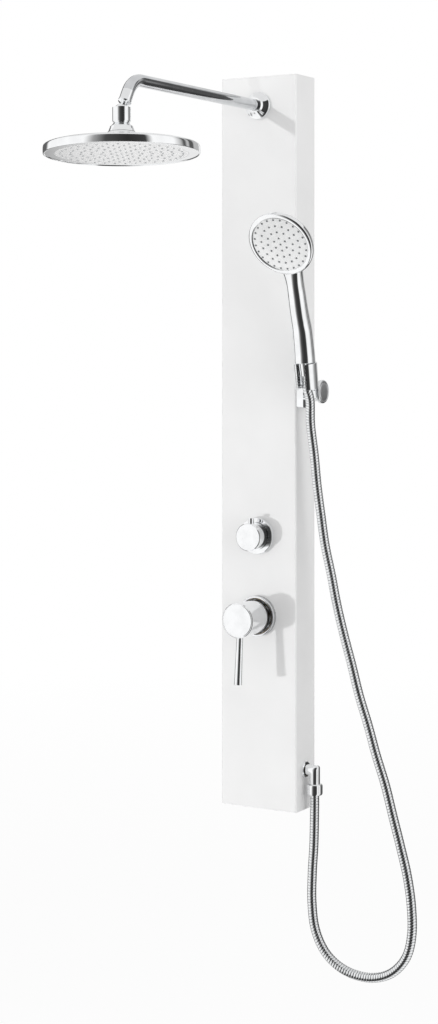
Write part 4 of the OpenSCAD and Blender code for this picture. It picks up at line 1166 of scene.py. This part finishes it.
@dataclass
class Studio:
    """The pale room: camera, lamps, world, floor and the cards that chrome mirrors.

    A card is an azimuth in degrees, 0 straight in front and 90 on the right, and the
    glow there. Two wide spots light the column from the upper and the lower left, a card
    from the right, and a narrow spot the rain head's face from below.
    """

    eye: Point = (1.5788, -2.8638, 0.1626)
    turn: float = math.radians(30.57)
    lens: float = 68.87
    shift: float = -0.1649
    far_clip: float = 60.0
    floor_height: float = -1.03
    floor_half: float = 12.0
    floor_glow: Pair = (0.92, 1.0)
    floor_range: Pair = (1.5, 4.0)
    room_radius: float = 2.6
    room_top: float = 2.2
    room_hole: float = 0.02
    daylight: float = 0.70
    high_cards: tuple[Pair, ...] = (
        (-180, 0.5), (-161, 0.55), (-156, 0.9), (-140, 0.9), *FRONT_CARDS, (104, 1.0),
        (120, 0.45), (126, 0.08), (130, 0.12), (135, 0.5), (139, 0.5), (143, 0.1), (154, 0.1),
        (159, 0.5), (180, 0.5),
    )
    low_cards: tuple[Pair, ...] = (
        (-180, 0.06), (-162, 0.06), (-156, 0.85), (-140, 0.85), *FRONT_CARDS, (98, 1.0),
        (114, 0.45), (128, 0.30), (136, 0.06), (180, 0.06),
    )
    high_from: Pair = (-0.2, 0.1)
    ceiling: float = 0.8
    lamps: tuple[Lamp, ...] = (
        Lamp(LampKind.SPOT, (-2.087793, -3.338498, 1.814593), (0, 0, 1.12), 198, WIDE_SPOT),
        Lamp(LampKind.SPOT, (-2.108386, -3.371429, -0.838114), (0, 0, -0.42), 198, WIDE_SPOT),
        Lamp(LampKind.CARD, (3.8, -1.0, 0.0), (0, 0, 0), 58, {"size": 3.0}),
        Lamp(LampKind.SPOT, (0.3, -1.7, -0.95), (0, -0.47, 0.44), 45, NARROW_SPOT),
    )

    def set_camera(self) -> None:
        """Stand the level camera where the photograph was taken from."""
        camera = add_object("camera", bpy.data.cameras.new("camera"))
        camera.location = self.eye
        camera.rotation_euler = (math.pi / 2, 0, self.turn)
        camera.data.lens = self.lens
        camera.data.shift_y = self.shift
        camera.data.clip_end = self.far_clip
        bpy.context.scene.camera = camera

    def light_world(self) -> None:
        """Make the world white to look at and in mirrors, and a softer level as light."""
        world = bpy.data.worlds.new("pale_room")
        tree = emptied(world)
        rays = add_node(tree, "ShaderNodeLightPath").outputs
        seen = maths(tree, "MAXIMUM", rays["Is Camera Ray"], rays["Is Glossy Ray"])
        seen = maths(tree, "MAXIMUM", seen, rays["Is Transmission Ray"])
        air = shader(tree, "Background", WHITE, Strength=self.daylight)
        white = shader(tree, "Background", WHITE, Strength=1.0)
        both = mix_shader(tree, seen, air, white)
        add_node(tree, "ShaderNodeOutputWorld", inputs={"Surface": both})
        bpy.context.scene.world = world

    def floor_finish(self) -> Material:
        """Return the pale floor's material, which glows white away from the column.

        The glow's share rises over the floor range, measured from the column. Light that
        only bounces meets a plain paint.
        """
        made = bpy.data.materials.new("pale_floor_paint")
        tree = emptied(made)
        place = object_place(tree)
        far = add_node(tree, "ShaderNodeVectorMath", {"operation": "LENGTH"}, {0: place})
        share = spread(tree, far.outputs["Value"], self.floor_glow, self.floor_range)
        paint = shader(tree, "BsdfDiffuse", linear("#F4F4F4"))
        plain = shader(tree, "BsdfDiffuse", linear("#E8E8E8"))
        both = mix_shader(tree, share, paint, shader(tree, "Emission", WHITE, Strength=1.0))
        rays = add_node(tree, "ShaderNodeLightPath").outputs
        seen = maths(tree, "MAXIMUM", rays["Is Camera Ray"], rays["Is Glossy Ray"])
        whole = mix_shader(tree, seen, plain, both)
        add_node(tree, "ShaderNodeOutputMaterial", inputs={"Surface": whole})
        return made

    def lay_floor(self) -> None:
        """Lay the pale floor under the hose's loop."""
        half, z = self.floor_half, self.floor_height
        points = np.array([(-half, -half, z), (half, -half, z), (half, half, z), (-half, half, z)])
        add_mesh("floor", points, [np.array([(0, 1, 2, 3)])], self.floor_finish())

    def card_finish(self) -> Material:
        """Return the mirror room's glow: cards by azimuth, and a plain ceiling.

        The azimuth is atan2(x, -y). Between the two heights of high_from the low cards
        blend into the high ones.
        """
        made = bpy.data.materials.new("mirror_room_cards")
        tree = emptied(made)
        axis = add_node(tree, "ShaderNodeSeparateXYZ", inputs={0: object_place(tree)}).outputs
        front = maths(tree, "MULTIPLY", axis["Y"], -1.0)
        azimuth = maths(tree, "ARCTAN2", axis["X"], front)
        share = spread(tree, azimuth, (0.0, 1.0), (-math.pi, math.pi))
        low, high = (
            ramp(tree, share, [((a + 180) / 360, (v, v, v, 1.0)) for a, v in cards])
            for cards in (self.low_cards, self.high_cards)
        )
        lift = spread(tree, axis["Z"], (0.0, 1.0), self.high_from)
        above = maths(tree, "GREATER_THAN", axis["Z"], self.room_top - self.room_hole)
        top = (self.ceiling, self.ceiling, self.ceiling, 1.0)
        colour = mix(tree, above, mix(tree, lift, low, high), top)
        glow = shader(tree, "Emission", colour, Strength=1.0)
        add_node(tree, "ShaderNodeOutputMaterial", inputs={"Surface": glow})
        return made

    def hang_cards(self) -> None:
        """Stand a round room of light and dark cards that only mirrors see."""
        r, low, high = self.room_radius, self.floor_height + 0.01, self.room_top
        profile = np.array([(self.room_hole, low), (r, low), (r, high), (self.room_hole, high)])
        rings = turned_rings(profile, np.zeros(3), np.eye(3), 96)
        room = grid_piece("mirror_room", rings, self.card_finish())
        for rays in ("camera", "diffuse", "transmission", "shadow"):
            setattr(room, f"visible_{rays}", False)

    def furnish(self) -> None:
        """Set up the plain view, the light, the floor and the cards."""
        bpy.context.scene.view_settings.view_transform = "Standard"
        self.light_world()
        for lamp in self.lamps:
            lamp.hang()
        self.lay_floor()
        self.hang_cards()


# ---- the whole column


def sub_assemblies() -> list[SubAssembly]:
    """Return the column's sub-assemblies in the order they are made, hose first.

    Each gets its label, and its CAD nodes by finish, with spaces between the names.
    """
    return [
        RibbedHose("hose", {HOSE_CHROME: "shower_hose", CHROME: "hose_nut cone_nut"}),
        SubAssembly("panel", {
            WHITE_ENAMEL: "panel_shell top_cap bottom_cap",
            ZINC: "hook_rails wall_brackets",
        }),
        Arm("arm", {
            CHROME: "arm_flange arm_collar ball_stud",
            # the arm's darker chrome tone is painted shade
            SHADED_ARM_CHROME: "shower_arm",
            BRASS: "arm_connector arm_lock_nut",
            SEAL_BLACK: "arm_gasket",
        }),
        RainHead("rain head", {
            SEAT_GREY: "ball_seat_lower ball_seat_upper",
            CHROME: "swivel_nut swivel_socket head_shell head_ring",
            FACE_WHITE: "head_face",
            NOZZLE_GREY: "head_nozzles",
        }),
        Mixer("mixer", {
            BRASS: "mixer_body",
            CHROME: "cartridge_nut mixer_lock_nut mixer_handle mixer_cap mixer_lever",
            CARTRIDGE: "mixer_cartridge",
            STEEL: "mixer_driver tilt_pin mixer_stem grub_screw",
            ROSE_CHROME: "mixer_rosette",
        }),
        SubAssembly("diverter", {
            BRASS: "diverter_body diverter_lock_nut",
            CARTRIDGE: "diverter_cartridge",
            STEEL: "diverter_spindle",
            CHROME: "diverter_rosette diverter_knob diverter_pin",
        }),
        SubAssembly("waterways", {
            COPPER: "warm_pipe riser_pipe outlet_pipe",
            BRASS: "pipe_nuts outlet_union",
        }),
        HoseOutlet("hose outlet", {CHROME: "outlet_rosette outlet_elbow"}),
        Holder("holder", {
            CHROME: "holder_base holder_cup",
            KNOB_CHROME: "holder_knob",
            STEEL: "holder_bolt",
        }),
        Handset("handset", {
            CHROME: "handset_body handset_ring",
            FACE_SILVER: "handset_face",
            NOZZLE_DARK: "handset_nozzles",
        }),
    ]


def main() -> None:
    """Set the camera, dress and build each sub-assembly, and furnish the room."""
    logging.basicConfig(level=logging.INFO, format="%(message)s")
    studio = Studio()
    studio.set_camera()
    for assembly in sub_assemblies():
        count = assembly.dress()
        names = ", ".join(piece.name for piece in assembly.build()) or "no new pieces"
        LOG.info("%s: %d nodes dressed, %s", assembly.label, count, names)
    studio.furnish()


if __name__ == "__main__":
    main()
